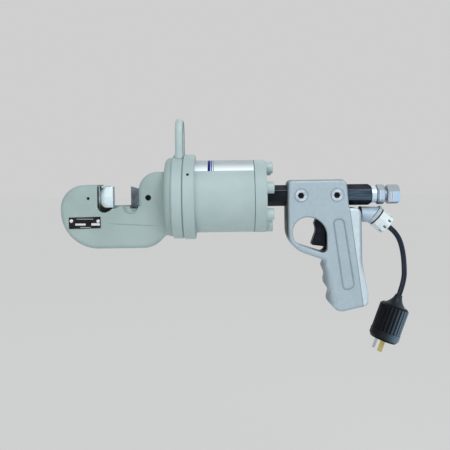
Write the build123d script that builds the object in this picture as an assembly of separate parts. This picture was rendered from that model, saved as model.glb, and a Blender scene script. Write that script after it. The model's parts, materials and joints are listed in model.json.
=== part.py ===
from build123d import *
import math
import os

# Hydraulic bar shear, hung from a bail: C-shaped jaw, ram, cylinder, feed bar, pistol grip, hose swivel
# and control cord. Millimetres, +Z up, +X along the ram axis towards the hose, -Y towards the viewer.
# The origin is the inside of the bail's crown. Shapes are drawn with the ram axis at Z = 0 and lowered
# by hang_height when they are written.

# Clearances
seat_gap = 0.1  # between pieces that are screwed or pressed together
running_gap = 0.05  # radial, shaft in bore
free_gap = 0.3  # between pieces that move past each other
cut_past = 1.0  # by which a cut runs beyond the face that it opens

# Bail and its ring
hang_height = 98.4  # inside of the bail's crown above the ram axis
bail_bar_radius = 5.6
bail_half_span = 17.0  # bail leg's centre line from the mid-plane
bail_foot_radius = 7.7
bail_foot_height = 7.0
bail_ring_wall = 8.0
bail_ring_width = 15.0
ring_joint_x = 5.4  # face between the bail ring and the lock ring
ring_chamfer = 1.5

# Jaw
jaw_thickness = 50.0
jaw_edge_round = 6.0
lobe_length = 51.0  # throat's front wall to the jaw's nose
lobe_rise = 18.4  # lobe's top above the ram axis
nose_top_drop = 13.6  # where the nose's upper curve starts, below the ram axis
nose_low_drop = 16.8  # where its lower curve starts
jaw_drop = 68.8  # jaw's underside below the ram axis
throat_width = 55.8
throat_drop = 11.3  # throat's floor below the ram axis
relief_radius = 9.0  # round relief in the throat's lower front corner
front_relief_room = 1.6  # under the blade's seat
front_ramp_length = 8.3  # relief's ramp up to the floor, beyond the blade's face
front_ramp_round = 1.0
dish_radius = 10.2  # hollow in the lower rear corner, open at the near side
dish_drop = 11.8
dish_setback = 0.6
sill_slot_radius = 6.5  # round slot from the hollow to the blades' channel
sill_slot_setback = 0.1
neck_length = 36.2
neck_rise = 35.2
neck_round = 26.0
heel_setback = 16.0  # heel's lower corner ahead of the head's front face
heel_rise = 52.0  # depth at which the heel runs into the head
heel_round = 34.0
head_wall = 4.5  # head's radius beyond the spigot's
head_length = 10.2
head_round = 7.0
flare_radius = 20.0  # hollow blend from the neck to the head
flare_root_recess = 0.2  # by which the blend starts inside the jaw's faces
nose_step = 6.0  # barrel's nose in the head, from the barrel's outside
spigot_recess = 0.5  # jaw's spigot ends short of the lock ring

# Blades
blade_overlap = 2.0  # by which the blades pass at full stroke
blade_rise = 15.4  # blades' top above the ram axis
blade_drop = 13.0
moving_blade_drop = 14.3
fixed_blade_length = 16.4
blade_depth = 12.0  # each blade's thickness, on its side of the shear plane
shear_gap = 0.15  # from each blade to the shear plane
channel_gap = 0.7  # round the blades in the channel of the throat's floor
blade_back_round = 7.0
seat_length = 15.0
seat_lip = 5.0  # seat's foot below the blade's
seat_top_rise = 1.2  # seat's top above the blade's
seat_recess = 1.5  # from the jaw's faces
seat_web = 3.2  # seat behind the blade's back
seat_round = 7.4  # lower corners
seat_top_round = 2.0
shank_radius = 6.0
shank_length = 21.0
set_screw_radius = 2.0
set_screw_setback = 12.4  # from the throat's front wall
set_screw_recess = 2.5
moving_blade_length = 10.0
blade_base_length = 3.8
blade_fall = 3.1  # moving blade's top, towards the ram

# Ram and cylinder
ram_radius = 16.0
ram_nose_recess = 0.3  # ram's nose inside the throat's rear wall
ram_spigot_radius = 11.0
ram_spigot_length = 23.5
blade_shank_length = 18.0
blade_pin_recess = 0.8  # pin's ends inside the ram's surface
blade_pin_radius = 2.5
blade_pin_setback = 9.0
guide_screw_setback = 13.5  # from the throat's rear wall
guide_screw_radius = 4.0
guide_screw_recess = 6.0
guide_tip_radius = 3.0
guide_slot_depth = 4.0
bush_length = 18.0
bush_wall = 4.0
wiper_length = 5.0
wiper_wall = 4.0
wiper_setback = 2.0
bore_radius = 32.5
barrel_wall = 17.5
barrel_length = 80.8  # behind the lock ring
lock_ring_wall = 9.0
lock_ring_width = 15.9
lock_screw_radius = 2.0
lock_screw_angle = 58.5  # from straight up, towards the viewer
lock_screw_setback = 7.5
piston_length = 36.0
piston_rest_gap = 0.5
piston_seal_width = 7.0
piston_seal_depth = 5.0
wear_ring_width = 8.0
wear_ring_depth = 2.0
ring_groove_offset = 6.0  # from each end of the piston to its groove
piston_bolt_radius = 6.0
piston_bolt_head_radius = 9.0
piston_bolt_head_length = 10.0
spring_wire_radius = 2.5
spring_coil_radius = 22.5
spring_turns = 6

# Rear cap
cap_overhang = 0.5  # cap's radius beyond the barrel's
cap_thickness = 16.2
cap_spigot_length = 10.0
cap_seal_width = 4.5
cap_seal_depth = 4.0
cap_chamfer = 1.0
joint_chamfer = 0.6  # on both sides of the joint between the barrel and the cap
cap_screw_count = 7
cap_screw_inset = 8.0  # screw circle inside the barrel's outside
cap_screw_first_angle = 22.0  # from straight up, towards the viewer
cap_screw_radius = 5.0
cap_screw_head_radius = 8.0
cap_screw_head_length = 9.6
cap_screw_socket = 8.0
cap_screw_grip = 18.0  # thread in the barrel
cap_screw_hole_radius = 5.4

# Label and nameplate
label_half_angle = 45.5
label_thickness = 0.25
label_margin = 0.2
plate_length = 43.0
plate_height = 15.4
plate_thickness = 0.8
plate_setback = 33.8  # plate's centre from the jaw's nose
plate_drop = 33.0
plate_tilt = 0.9
rivet_radius = 2.6
rivet_top_radius = 1.6
rivet_height = 1.2
rivet_inset = 3.3  # from the plate's ends
rivet_rise = 2.4

# Feed bar and hose fitting
bar_flats = 25.4
bar_front_length = 27.9  # rear cap to grip
bar_tail_length = 33.4  # bar behind the grip's block
bar_chamfer = 4.0
bar_chamfer_depth = 2.8
bar_thread_radius = 10.0
bar_thread_length = 12.0
oil_radius = 4.0
adapter_thread_radius = 8.0
adapter_thread_length = 12.0
collar_radius = 11.5
collar_length = 7.0
fitting_flats = 24.0
fitting_bevel = 0.8  # length of the turned-down ends as a share of their depth
adapter_hex_length = 11.0
waist_length = 3.6
swivel_stem_radius = 7.0
swivel_head_gap = 0.45  # round the head in the nut's bore
swivel_head_length = 2.6
swivel_cone_length = 2.2
swivel_nut_length = 16.6
swivel_nut_turn = 14.0  # from the adapter's hexagon
swivel_collar = 3.0  # nut's rear wall round the stem
hose_thread_radius = 8.75
hose_thread_length = 7.4
nut_mouth_chamfer = 0.8
thread_relief = 0.2  # nut's bore beyond the thread's crests
adapter_oil_radius = 3.0

# Pistol grip, measured from its front edge and the ram axis
grip_half_width = 19.5
grip_edge_round = 4.5
grip_top = 21.7
grip_front_lean = 3.0
block_length = 83.3
block_lean = 3.0
block_drop = 17.0  # block's rear foot, where the cover starts
guard_corner_drop = 70.9
guard_round = 36.0
grip_toe = 69.5  # lower front corner
toe_drop = 15.6  # grip's bottom below the last finger crest
cover_depth = 17.1  # back of the cover behind the block's rear foot
cover_heel_step = 8.0  # heel behind the cover's back
cover_heel_rise = 23.6  # above the grip's bottom
cover_foot_rise = 9.2
cover_back_bend = 92.0
joint_fall = 18.1  # joint line's run back, from the block's foot to the grip's bottom
cover_gap = 0.2
cover_top_fall = 1.5  # cover's top falls towards its back
cover_foot_setback = 0.4
block_front_round = 6.0
block_rear_round = 9.0
block_foot_round = 3.0
cover_top_round = 10.0
cover_bend_round = 70.0
cover_heel_round = 14.0
cover_foot_round = 6.0
toe_round = 14.0
guard_top_drop = 14.0  # where the guard's front runs up into the block
guard_top_round = 30.0
notch_reach = 53.0  # where the guard's underside meets the handle
notch_drop = 90.0
notch_round = 3.0
finger_grooves = (  # reach, drop below the notch and corner radius of the crests and hollows
    (49.6, 8.5, 7.5),
    (54.6, 20.5, 8.0),
    (50.6, 29.5, 7.5),
    (60.0, 43.4, 6.0),
    (55.6, 56.0, 7.5),
)
handle_front = 47.9  # line in front of the finger crests, at the notch
handle_lean = 7.7  # that line's angle from straight down
handle_round = 14.0  # rounding of the handle's finger side
handle_round_run = 25.0  # length over which the rounding grows
finger_hole_front = 8.5
finger_hole_top = 29.9
finger_hole_width = 46.5
finger_hole_front_height = 35.1
finger_hole_back_height = 50.8
finger_hole_top_round = 20.0  # top front corner
finger_hole_top_flat = 0.5  # straight left between the top corners
finger_hole_front_flat = 2.9  # straight left between the front corners
finger_hole_low_round = 6.0  # lower back corner
finger_hole_rim_round = 2.5
cavity_front = 59.5
cavity_foot_setback = 8.0
cavity_corner = 3.0
cavity_top = 26.0
cavity_front_drop = 80.0  # below this the front wall leans back
cavity_floor = 34.6  # above the grip's bottom
grip_wall = 7.5
cover_wall = 5.5
clamp_screw_radius = 8.0
clamp_screw_proud = 0.8
clamp_screw_socket = 8.0
clamp_screw_socket_depth = 4.5
clamp_screw_first = 20.0
clamp_screw_last = 13.9  # second screw ahead of the block's rear edge
spotface_radius = 10.2
spotface_depth = 0.7
cover_screw_drop = 52.0
cover_screw_rise = 25.1  # lower screw above the grip's bottom
cover_screw_radius = 2.5
cover_screw_head_radius = 4.6
cover_screw_head_length = 3.2
cover_screw_length = 14.5
screw_boss_radius = 5.5

# Trigger pivot from the grip's front edge and the ram axis, trigger and switch from the pivot
pivot_reach = 50.5
pivot_drop = 32.5
pivot_radius = 2.5
trigger_half_width = 8.0
trigger_depth = 4.7  # trigger's back behind the pivot
trigger_front = (  # reach, height and corner radius, from the top down to the tip
    (-6.0, 4.7, 4.5),
    (-11.1, -6.5, 3.0),
    (-8.5, -16.0, 15.0),
    (-16.0, -36.3, 2.0),
)
trigger_foot_drop = 39.1
trigger_foot_round = 3.0
trigger_head_round = 4.5
trigger_bevel = 1.2
slot_gap = 0.6  # beside the trigger
slot_rise = 7.0
slot_front_reach = 12.0
slot_drop = 45.5
trigger_nose_radius = 3.0
trigger_nose_step = 2.0  # nose's centre behind the trigger's back
trigger_nose_drop = 25.5
plunger_radius = 2.5
plunger_length = 9.2
switch_setback = 10.2  # behind the trigger's back
switch_top_drop = 13.5
switch_height = 29.0
switch_bore_depth = 10.0
web_floor = 1.1  # web's metal ahead of the cover screw's tip
web_half_height = 5.5
web_recess = 0.55  # web and boss behind the joint, each
trigger_spring_drop = 34.5
trigger_spring_radius = 2.6
trigger_wire_radius = 0.4
trigger_spring_turns = 4

# Cord connector, cord and plug
connector_drop = 27.5
connector_radius = 10.7
connector_spigot_radius = 8.0
connector_spigot_proud = 2.0  # spigot's end inside the cover's wall
connector_run = 20.4  # from the cover's back to the bend
connector_bend_angle = 41.0
connector_arm = 4.0  # from the bend to the collar's face
connector_collar_radius = 14.0
connector_collar_length = 2.6
connector_seal_thickness = 2.0  # rubber rings at the connector's root and under the gland nut
connector_seal_recess = 0.6  # ring under the gland nut inside the collar's edge
connector_seal_proud = 0.4  # ring at the root beyond the connector's edge
gland_length = 19.0
gland_radius = 14.8
gland_sides = 8
gland_dome = 2.0
gland_spigot_radius = 8.0
gland_spigot_length = 4.5  # in the connector
gland_notch_width = 3.2  # spanner notches in the nut's end, one on each side
gland_notch_depth = 1.6
gland_notch_length = 7.0
grommet_radius = 6.6
grommet_length = 6.0
cord_radius = 3.6
cord_first_run = 8.0
cord_points = (
    (300.1, -54.6),
    (305.8, -63.8),
    (309.8, -78.8),
    (311.7, -98.2),
    (311.5, -121.6),
)
cord_last_run = 21.0
cord_arc_share = 0.45  # of the shorter run beside it, that each arc takes up
plug_tilt = 21.0  # plug's axis from straight down, towards the grip
plug_clamp_length = 15.6
plug_clamp_top_radius = 4.8
plug_clamp_middle = (8.3, 9.0)  # radius and distance from the top, on its hollow side
plug_clamp_foot_radius = 15.2
plug_shell_radius = 20.4
plug_shell_length = 50.0
plug_shoulder = 3.0
plug_band_radius = 21.0
plug_band_length = 12.0  # smooth band at the blades' end
plug_band_bevel = (2.5, 4.0)  # radial and along the axis
plug_flute_count = 24
plug_flute_radius = 1.5
plug_face_radius = 17.8
plug_face_length = 8.0
plug_face_proud = 0.7
plug_blade_length = 16.0
plug_blade_width = 6.3
plug_blade_thickness = 1.6
plug_blade_circle = 9.0
plug_blade_angles = (191.5, 311.5)  # brass and nickel blade, from the far side
plug_blade_root = 5.0

# Stations along the ram axis
ring_front_x = ring_joint_x - bail_ring_width
head_front_x = ring_front_x - head_length
throat_rear_x = head_front_x - neck_length
throat_front_x = throat_rear_x - throat_width
nose_x = throat_front_x - lobe_length
lock_rear_x = ring_joint_x + lock_ring_width
barrel_rear_x = lock_rear_x + barrel_length
cap_rear_x = barrel_rear_x + cap_thickness
grip_front_x = cap_rear_x + bar_front_length
block_rear_x = grip_front_x + block_length + block_lean
bar_rear_x = block_rear_x + bar_tail_length
jaw_half = jaw_thickness / 2
guide_screw_x = throat_rear_x + guide_screw_setback

# Radii and heights that follow from others
barrel_radius = bore_radius + barrel_wall
bail_ring_radius = barrel_radius + bail_ring_wall
lock_ring_radius = barrel_radius + lock_ring_wall
head_radius = barrel_radius + head_wall
nose_radius = barrel_radius - nose_step
cap_radius = barrel_radius + cap_overhang
cap_screw_circle = barrel_radius - cap_screw_inset
seat_drop = blade_drop + seat_lip
seat_rise = blade_rise + seat_top_rise
swivel_head_radius = hose_thread_radius - swivel_head_gap
grip_bottom = notch_drop + finger_grooves[-1][1] + toe_drop
cover_reach = block_length + block_lean + cover_depth
cover_heel_reach = cover_reach + cover_heel_step
cover_heel_drop = grip_bottom - cover_heel_rise
cover_screw_drops = (cover_screw_drop, grip_bottom - cover_screw_rise)
cavity_half_width = grip_half_width - grip_wall
trigger_back = pivot_reach + trigger_depth
switch_front = trigger_back + switch_setback

# Blade and ram stations at rest
fixed_blade_back_x = throat_front_x + seat_web
fixed_blade_face_x = fixed_blade_back_x + fixed_blade_length
ram_nose_x = throat_rear_x + ram_nose_recess
blade_base_x = ram_nose_x - blade_base_length
moving_blade_face_x = blade_base_x - moving_blade_length
stroke = moving_blade_face_x - fixed_blade_face_x + blade_overlap
cap_spigot_x = barrel_rear_x - cap_spigot_length
piston_rear_x = cap_spigot_x - piston_rest_gap
piston_front_x = piston_rear_x - piston_length

# Fitting stations
collar_rear_x = bar_rear_x + collar_length
adapter_hex_rear_x = collar_rear_x + adapter_hex_length
nut_front_x = adapter_hex_rear_x + waist_length
nut_rear_x = nut_front_x + swivel_nut_length
swivel_head_x = nut_front_x + swivel_collar + free_gap
thread_start_x = nut_rear_x - nut_mouth_chamfer - hose_thread_length


def upright(radius, length):
    """Round bar that stands on its own plane."""
    return Cylinder(radius, length, align=(Align.CENTER, Align.CENTER, Align.MIN))


def cylinder_x(radius, start, end, y=0.0, z=0.0):
    """Round bar along X."""
    return extrude(Plane.YZ.offset(start) * Pos(y, z) * Circle(radius), end - start)


def cylinder_y(radius, x, z, start, end):
    """Round bar along Y."""
    return Pos(x, start, z) * Rot(-90, 0, 0) * upright(radius, end - start)


def hexagon_x(flats, start, end):
    """Hexagon bar along X with a flat towards the viewer."""
    hexagon = RegularPolygon(flats / 2, 6, major_radius=False, rotation=30)
    section = Plane.YZ.offset(start) * hexagon
    return extrude(section, end - start)


def block(x0, x1, y0, y1, z0, z1):
    """Box between two corners."""
    low = (Align.MIN, Align.MIN, Align.MIN)
    return Pos(x0, y0, z0) * Box(x1 - x0, y1 - y0, z1 - z0, align=low)


def turned(*points):
    """Solid of revolution about X from (x, radius) corners."""
    outline = make_face(Polyline(*points, close=True))
    return revolve(outline, Axis.X)


def side_face(corners):
    """Face in the XZ plane from (x, z, corner radius) entries."""
    points = [(x, z) for x, z, _ in corners]
    radii = [radius for _, _, radius in corners]
    return Plane.XZ * make_face(FilletPolyline(*points, radius=radii, close=True))


def side_plate(corners, half_width):
    """Plate on both sides of the mid-plane from a rounded outline."""
    return extrude(side_face(corners), half_width, both=True)


def rim_edges(body, half_width):
    """Edges that lie on the two side faces of a plate."""
    return [edge for edge in body.edges() if abs(abs(edge.center().Y) - half_width) < 1e-3]


def at_grip(shape):
    """Move a shape drawn from the grip's front edge to its place."""
    return Pos(grip_front_x, 0, 0) * shape


def biarc(start, start_dir, end, end_dir):
    """Two tangent arcs between two points with given directions."""
    span = end - start
    both = start_dir + end_dir
    a = 4 - both.dot(both)
    b = 2 * span.dot(both)
    reach = (-b + math.sqrt(b * b + 4 * a * span.dot(span))) / (2 * a)
    middle = (start + start_dir * reach + end - end_dir * reach) * 0.5
    first = TangentArc(start, middle, tangent=start_dir)
    second = TangentArc(middle, end, tangent=first % 1)
    return [first, second]


def coil_x(coil_radius, wire_radius, start, end, turns, y=0.0, z=0.0):
    """Compression spring along X: one wire on quarter-turn arcs, its ends inside start and end."""
    first = start + wire_radius
    rise = (end - wire_radius - first) / (2 * math.pi * turns)
    quarters = 4 * turns
    points = []
    directions = []
    for quarter in range(quarters + 1):
        angle = quarter * math.pi / 2
        points.append(
            Vector(
                first + rise * angle,
                y + coil_radius * math.cos(angle),
                z + coil_radius * math.sin(angle),
            )
        )
        along = Vector(rise, -coil_radius * math.sin(angle), coil_radius * math.cos(angle))
        directions.append(along.normalized())
    arcs = []
    for i in range(quarters):
        arcs += biarc(points[i], directions[i], points[i + 1], directions[i + 1])
    path = Wire(arcs)
    section = Plane(origin=points[0], z_dir=directions[0]) * Circle(wire_radius)
    return sweep(section, path=path)


# Jaw, blades and nameplate


def relief_cuts():
    """Front relief with its ramp, rear hollow, seat's bed and blades' channel in the throat's floor."""
    far = blade_depth + shear_gap + channel_gap
    near = -jaw_half - cut_past
    front_drop = seat_drop + front_relief_room - relief_radius
    front = Pos(throat_front_x + relief_radius, -front_drop) * Circle(relief_radius)
    front += Pos(fixed_blade_face_x + front_ramp_length, -throat_drop) * Circle(front_ramp_round)
    front_cut = extrude(Plane.XZ.offset(-far) * make_hull(front.edges()), far - near)
    dish_x = throat_rear_x - dish_radius - dish_setback
    dish = Pos(dish_x, -jaw_half, -dish_drop) * Sphere(dish_radius)
    slot_x = throat_rear_x - sill_slot_radius - sill_slot_setback
    slot = cylinder_y(sill_slot_radius, slot_x, -dish_drop, near, -far)
    seat_end = throat_front_x + seat_length
    bed = block(throat_front_x, seat_end + seat_gap, 0, jaw_half + cut_past, -seat_drop - seat_gap, 0)
    channel = block(seat_end, throat_rear_x, -far, far, -moving_blade_drop - channel_gap, 0)
    return [front_cut, dish, slot, bed, channel]


def jaw_plate():
    """C-shaped plate of the jaw with its cast edges rounded, sharp at the throat's floor and front wall."""
    corners = (
        (nose_x, lobe_rise, lobe_rise + nose_top_drop),
        (nose_x, -jaw_drop, jaw_drop - nose_low_drop),
        (head_front_x - heel_setback, -jaw_drop, heel_round),
        (head_front_x, -heel_rise, head_round),
        (ring_front_x, -heel_rise, 0),
        (ring_front_x, neck_rise, 0),
        (throat_rear_x, neck_rise, neck_round),
        (throat_rear_x, -throat_drop, 0),
        (throat_front_x, -throat_drop, 0),
        (throat_front_x, lobe_rise, 0),
    )
    plate = side_plate(corners, jaw_half)
    rounded = []
    for edge in rim_edges(plate, jaw_half):
        centre = edge.center()
        above_floor = centre.Z > -jaw_drop / 2
        in_throat = above_floor and throat_front_x - cut_past < centre.X < throat_rear_x - cut_past
        at_head = centre.X > ring_front_x - 1e-3
        if not in_throat and not at_head:
            rounded.append(edge)
    return fillet(rounded, jaw_edge_round)


def jaw_head():
    """Round head with the spigot for the bail ring and a hollow blend to the neck."""
    corner = head_front_x + head_round
    flare_front = head_front_x - flare_radius
    flare_root = jaw_half - flare_root_recess
    flare_top = flare_root + flare_radius
    spigot_end = ring_joint_x - spigot_recess
    diagonal = math.sqrt(0.5)
    outline = (
        Line((flare_front, 0), (flare_front, flare_root))
        + ThreePointArc(
            (flare_front, flare_root),
            (flare_front + flare_radius * diagonal, flare_top - flare_radius * diagonal),
            (head_front_x, flare_top),
        )
        + Line((head_front_x, flare_top), (head_front_x, head_radius - head_round))
        + ThreePointArc(
            (head_front_x, head_radius - head_round),
            (corner - head_round * diagonal, head_radius - head_round + head_round * diagonal),
            (corner, head_radius),
        )
        + Polyline(
            (corner, head_radius),
            (ring_front_x, head_radius),
            (ring_front_x, barrel_radius),
            (spigot_end, barrel_radius),
            (spigot_end, 0),
            (flare_front, 0),
        )
    )
    return revolve(make_face(outline), Axis.X)


def jaw_frame():
    body = jaw_plate() + jaw_head() - relief_cuts()
    body -= cylinder_x(nose_radius, ring_front_x, ring_joint_x)
    body -= cylinder_x(ram_radius + free_gap, ram_nose_x - stroke - free_gap, ring_joint_x)
    bush_front = ring_front_x - bush_length
    body -= cylinder_x(ram_radius + bush_wall, bush_front, ring_front_x)
    wiper_front = throat_rear_x + wiper_setback
    body -= cylinder_x(ram_radius + wiper_wall, wiper_front, wiper_front + wiper_length)
    shank_end = throat_front_x - shank_length - free_gap
    body -= cylinder_x(
        shank_radius + seat_gap, shank_end, throat_front_x + cut_past, y=-shear_gap - blade_depth / 2
    )
    near = -jaw_half - cut_past
    set_screw_x = throat_front_x - set_screw_setback
    body -= cylinder_y(set_screw_radius + seat_gap, set_screw_x, 0, near, -blade_depth / 2)
    body -= cylinder_y(guide_screw_radius + seat_gap, guide_screw_x, 0, near, 0)
    return body


def fixed_blade():
    """Blade on the near side of the shear plane, with a rounded back and a shank in the lobe."""
    corners = (
        (fixed_blade_back_x, blade_rise, blade_back_round),
        (fixed_blade_back_x, -blade_drop, blade_back_round),
        (fixed_blade_face_x, -blade_drop, 0),
        (fixed_blade_face_x, blade_rise, 0),
    )
    blade = Pos(0, -shear_gap, 0) * extrude(side_face(corners), blade_depth)
    shank_y = -shear_gap - blade_depth / 2
    return blade + cylinder_x(
        shank_radius, throat_front_x - shank_length, fixed_blade_back_x + cut_past, y=shank_y
    )


def blade_seat():
    """Hardened backing block that cradles the fixed blade's rounded back."""
    corners = (
        (throat_front_x, seat_rise, seat_top_round),
        (throat_front_x, -seat_drop, seat_round),
        (throat_front_x + seat_length, -seat_drop, seat_round),
        (throat_front_x + seat_length, seat_rise, 0),
    )
    body = side_plate(corners, jaw_half - seat_recess)
    floor = -blade_drop - seat_gap
    cradle = (
        (fixed_blade_back_x, blade_rise, blade_back_round),
        (fixed_blade_back_x, floor, blade_back_round),
        (fixed_blade_face_x, floor, 0),
        (fixed_blade_face_x, blade_rise, 0),
    )
    body -= extrude(side_face(cradle), jaw_half, both=True)
    round_end = fixed_blade_back_x + blade_back_round
    body -= block(round_end, fixed_blade_face_x, -jaw_half, jaw_half, 0, seat_rise + cut_past)
    shank_y = -shear_gap - blade_depth / 2
    return body - cylinder_x(
        shank_radius + seat_gap, throat_front_x - cut_past, fixed_blade_back_x + cut_past, y=shank_y
    )


def socket_y(flats, x, z, mouth, depth):
    """Hexagon socket cut from a face that looks towards the viewer."""
    hexagon = RegularPolygon(flats / 2, 6, major_radius=False)
    return Pos(x, mouth, z) * Rot(-90, 0, 0) * extrude(hexagon, depth)


def blade_set_screw():
    mouth = -jaw_half + set_screw_recess
    tip = -shear_gap - blade_depth / 2 - shank_radius - seat_gap
    x = throat_front_x - set_screw_setback
    screw = cylinder_y(set_screw_radius, x, 0, mouth, tip)
    return screw - socket_y(set_screw_radius, x, 0, mouth, set_screw_radius)


def moving_blade():
    """Blade on the far side of the shear plane, its base on the ram's nose."""
    far = shear_gap + blade_depth
    low_top = blade_rise - blade_fall
    corners = (
        (moving_blade_face_x, blade_rise, 0),
        (moving_blade_face_x, -moving_blade_drop, 0),
        (blade_base_x, -moving_blade_drop, 0),
        (blade_base_x, low_top, 0),
    )
    cutter = Pos(0, far, 0) * extrude(side_face(corners), blade_depth)
    base = block(blade_base_x, ram_nose_x, -far, far, -moving_blade_drop, low_top)
    base &= cylinder_x(ram_radius, blade_base_x, ram_nose_x)
    return cutter + base + cylinder_x(shank_radius, ram_nose_x, ram_nose_x + blade_shank_length)


def ram_guide_screw():
    """Screw whose plain tip runs in the ram's slot and keeps the blades in line."""
    mouth = -jaw_half + guide_screw_recess
    shoulder = -ram_radius - free_gap
    screw = cylinder_y(guide_screw_radius, guide_screw_x, 0, mouth, shoulder)
    tip_end = -ram_radius + guide_slot_depth - free_gap
    screw += cylinder_y(guide_tip_radius, guide_screw_x, 0, shoulder, tip_end)
    return screw - socket_y(guide_screw_radius, guide_screw_x, 0, mouth, guide_tip_radius / 2)


def plate_place():
    """Place of the nameplate's centre on the jaw's near face, local Z towards the viewer."""
    return Pos(nose_x + plate_setback, -jaw_half, -plate_drop) * Rot(90, 0, 0) * Rot(0, 0, plate_tilt)


def rivet_places():
    """Centres of the two rivets, in the nameplate's own plane."""
    return [(side * (plate_length / 2 - rivet_inset), rivet_rise) for side in (-1, 1)]


def nameplate():
    plate = extrude(Rectangle(plate_length, plate_height), plate_thickness)
    for x, y in rivet_places():
        plate -= Pos(x, y) * Cylinder(rivet_radius / 2 + seat_gap, 4 * plate_thickness)
    return plate_place() * plate


def nameplate_rivets():
    rivets = []
    low = (Align.CENTER, Align.CENTER, Align.MIN)
    for x, y in rivet_places():
        shank = Pos(x, y) * upright(rivet_radius / 2, plate_thickness)
        head = Pos(x, y, plate_thickness) * Cone(rivet_radius, rivet_top_radius, rivet_height, align=low)
        rivets.append(plate_place() * (shank + head))
    return Compound(rivets)


# Bail, rings and cylinder


def ring(outer, inner, start, end, bevel):
    """Plain ring about the ram axis with bevelled outer edges."""
    return turned(
        (start, inner),
        (start, outer - bevel),
        (start + bevel, outer),
        (end - bevel, outer),
        (end, outer - bevel),
        (end, inner),
    )


def bail_ring():
    inner = barrel_radius + seat_gap
    return ring(bail_ring_radius, inner, ring_front_x, ring_joint_x - seat_gap, ring_chamfer)


def suspension_bail():
    """Round bar bent to an arch across the tool, its flared feet welded to the bail ring."""
    crown = hang_height + bail_bar_radius
    arch_z = crown - bail_half_span
    foot_z = math.sqrt(bail_ring_radius**2 - bail_half_span**2)
    low_z = foot_z - bail_foot_radius
    path = (
        Line((0, -bail_half_span, low_z), (0, -bail_half_span, arch_z))
        + ThreePointArc((0, -bail_half_span, arch_z), (0, 0, crown), (0, bail_half_span, arch_z))
        + Line((0, bail_half_span, arch_z), (0, bail_half_span, low_z))
    )
    section = Pos(0, -bail_half_span, low_z) * Circle(bail_bar_radius)
    bail = sweep(section, path=path)
    foot_length = bail_foot_radius + bail_foot_height
    for side in (-1, 1):
        foot = Cone(
            bail_foot_radius,
            bail_bar_radius,
            foot_length,
            align=(Align.CENTER, Align.CENTER, Align.MIN),
        )
        bail += Pos(0, side * bail_half_span, low_z) * foot
    reach = 2 * bail_foot_radius
    bail -= cylinder_x(lock_ring_radius + running_gap, ring_joint_x - seat_gap, reach)
    return bail - cylinder_x(bail_ring_radius + running_gap, -reach, reach)


def radial(angle):
    """Turn about X by an angle from straight up, towards the viewer."""
    return Rot(angle, 0, 0)


def lock_screw_place():
    x = ring_joint_x + lock_screw_setback
    return radial(lock_screw_angle) * Pos(x, 0, barrel_radius + seat_gap)


def lock_ring():
    body = ring(lock_ring_radius, barrel_radius + seat_gap, ring_joint_x, lock_rear_x, ring_chamfer)
    return body - lock_screw_place() * Cylinder(lock_screw_radius + seat_gap, 4 * lock_ring_width)


def lock_ring_screw():
    length = lock_ring_radius - barrel_radius - set_screw_recess
    return lock_screw_place() * upright(lock_screw_radius, length)


def cap_screw_angles():
    step = 360 / cap_screw_count
    return [cap_screw_first_angle + step * i for i in range(cap_screw_count)]


def cap_screw_holes(radius, start, end):
    """Ring of round holes along X at the cap screws."""
    holes = []
    for angle in cap_screw_angles():
        holes.append(radial(angle) * cylinder_x(radius, start, end, z=cap_screw_circle))
    return holes


def cylinder_barrel():
    body = turned(
        (ring_front_x + seat_gap, bore_radius),
        (ring_front_x + seat_gap, nose_radius - seat_gap),
        (ring_joint_x, nose_radius - seat_gap),
        (ring_joint_x, barrel_radius),
        (barrel_rear_x - joint_chamfer, barrel_radius),
        (barrel_rear_x, barrel_radius - joint_chamfer),
        (barrel_rear_x, bore_radius),
    )
    depth = cap_screw_grip + free_gap
    return body - cap_screw_holes(cap_screw_radius + seat_gap, barrel_rear_x - depth, barrel_rear_x)


def barrel_label():
    """Thin printed wrap over the top of the barrel."""
    start = lock_rear_x + label_margin
    end = barrel_rear_x - joint_chamfer - label_margin
    inner = barrel_radius + running_gap
    outer = inner + label_thickness
    section = make_face(Polyline((start, inner), (start, outer), (end, outer), (end, inner), close=True))
    wrap = revolve(section, Axis.X, revolution_arc=2 * label_half_angle)
    return Rot(90 - label_half_angle, 0, 0) * wrap


def rear_cap():
    groove_start = cap_spigot_x + (cap_spigot_length - cap_seal_width) / 2
    spigot = bore_radius - seat_gap
    floor = spigot - cap_seal_depth
    body = turned(
        (cap_spigot_x, oil_radius),
        (cap_spigot_x, spigot),
        (groove_start, spigot),
        (groove_start, floor),
        (groove_start + cap_seal_width, floor),
        (groove_start + cap_seal_width, spigot),
        (barrel_rear_x, spigot),
        (barrel_rear_x, cap_radius - joint_chamfer),
        (barrel_rear_x + joint_chamfer, cap_radius),
        (cap_rear_x - cap_chamfer, cap_radius),
        (cap_rear_x, cap_radius - cap_chamfer),
        (cap_rear_x, bar_thread_radius + seat_gap),
        (cap_rear_x - bar_thread_length - free_gap, bar_thread_radius + seat_gap),
        (cap_rear_x - bar_thread_length - free_gap, oil_radius),
    )
    return body - cap_screw_holes(cap_screw_hole_radius, barrel_rear_x, cap_rear_x)


def cap_seal():
    groove_start = cap_spigot_x + (cap_spigot_length - cap_seal_width) / 2
    outer = bore_radius - running_gap
    inner = bore_radius - seat_gap - cap_seal_depth + running_gap
    return turned(
        (groove_start + seat_gap, inner),
        (groove_start + seat_gap, outer),
        (groove_start + cap_seal_width - seat_gap, outer),
        (groove_start + cap_seal_width - seat_gap, inner),
    )


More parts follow.
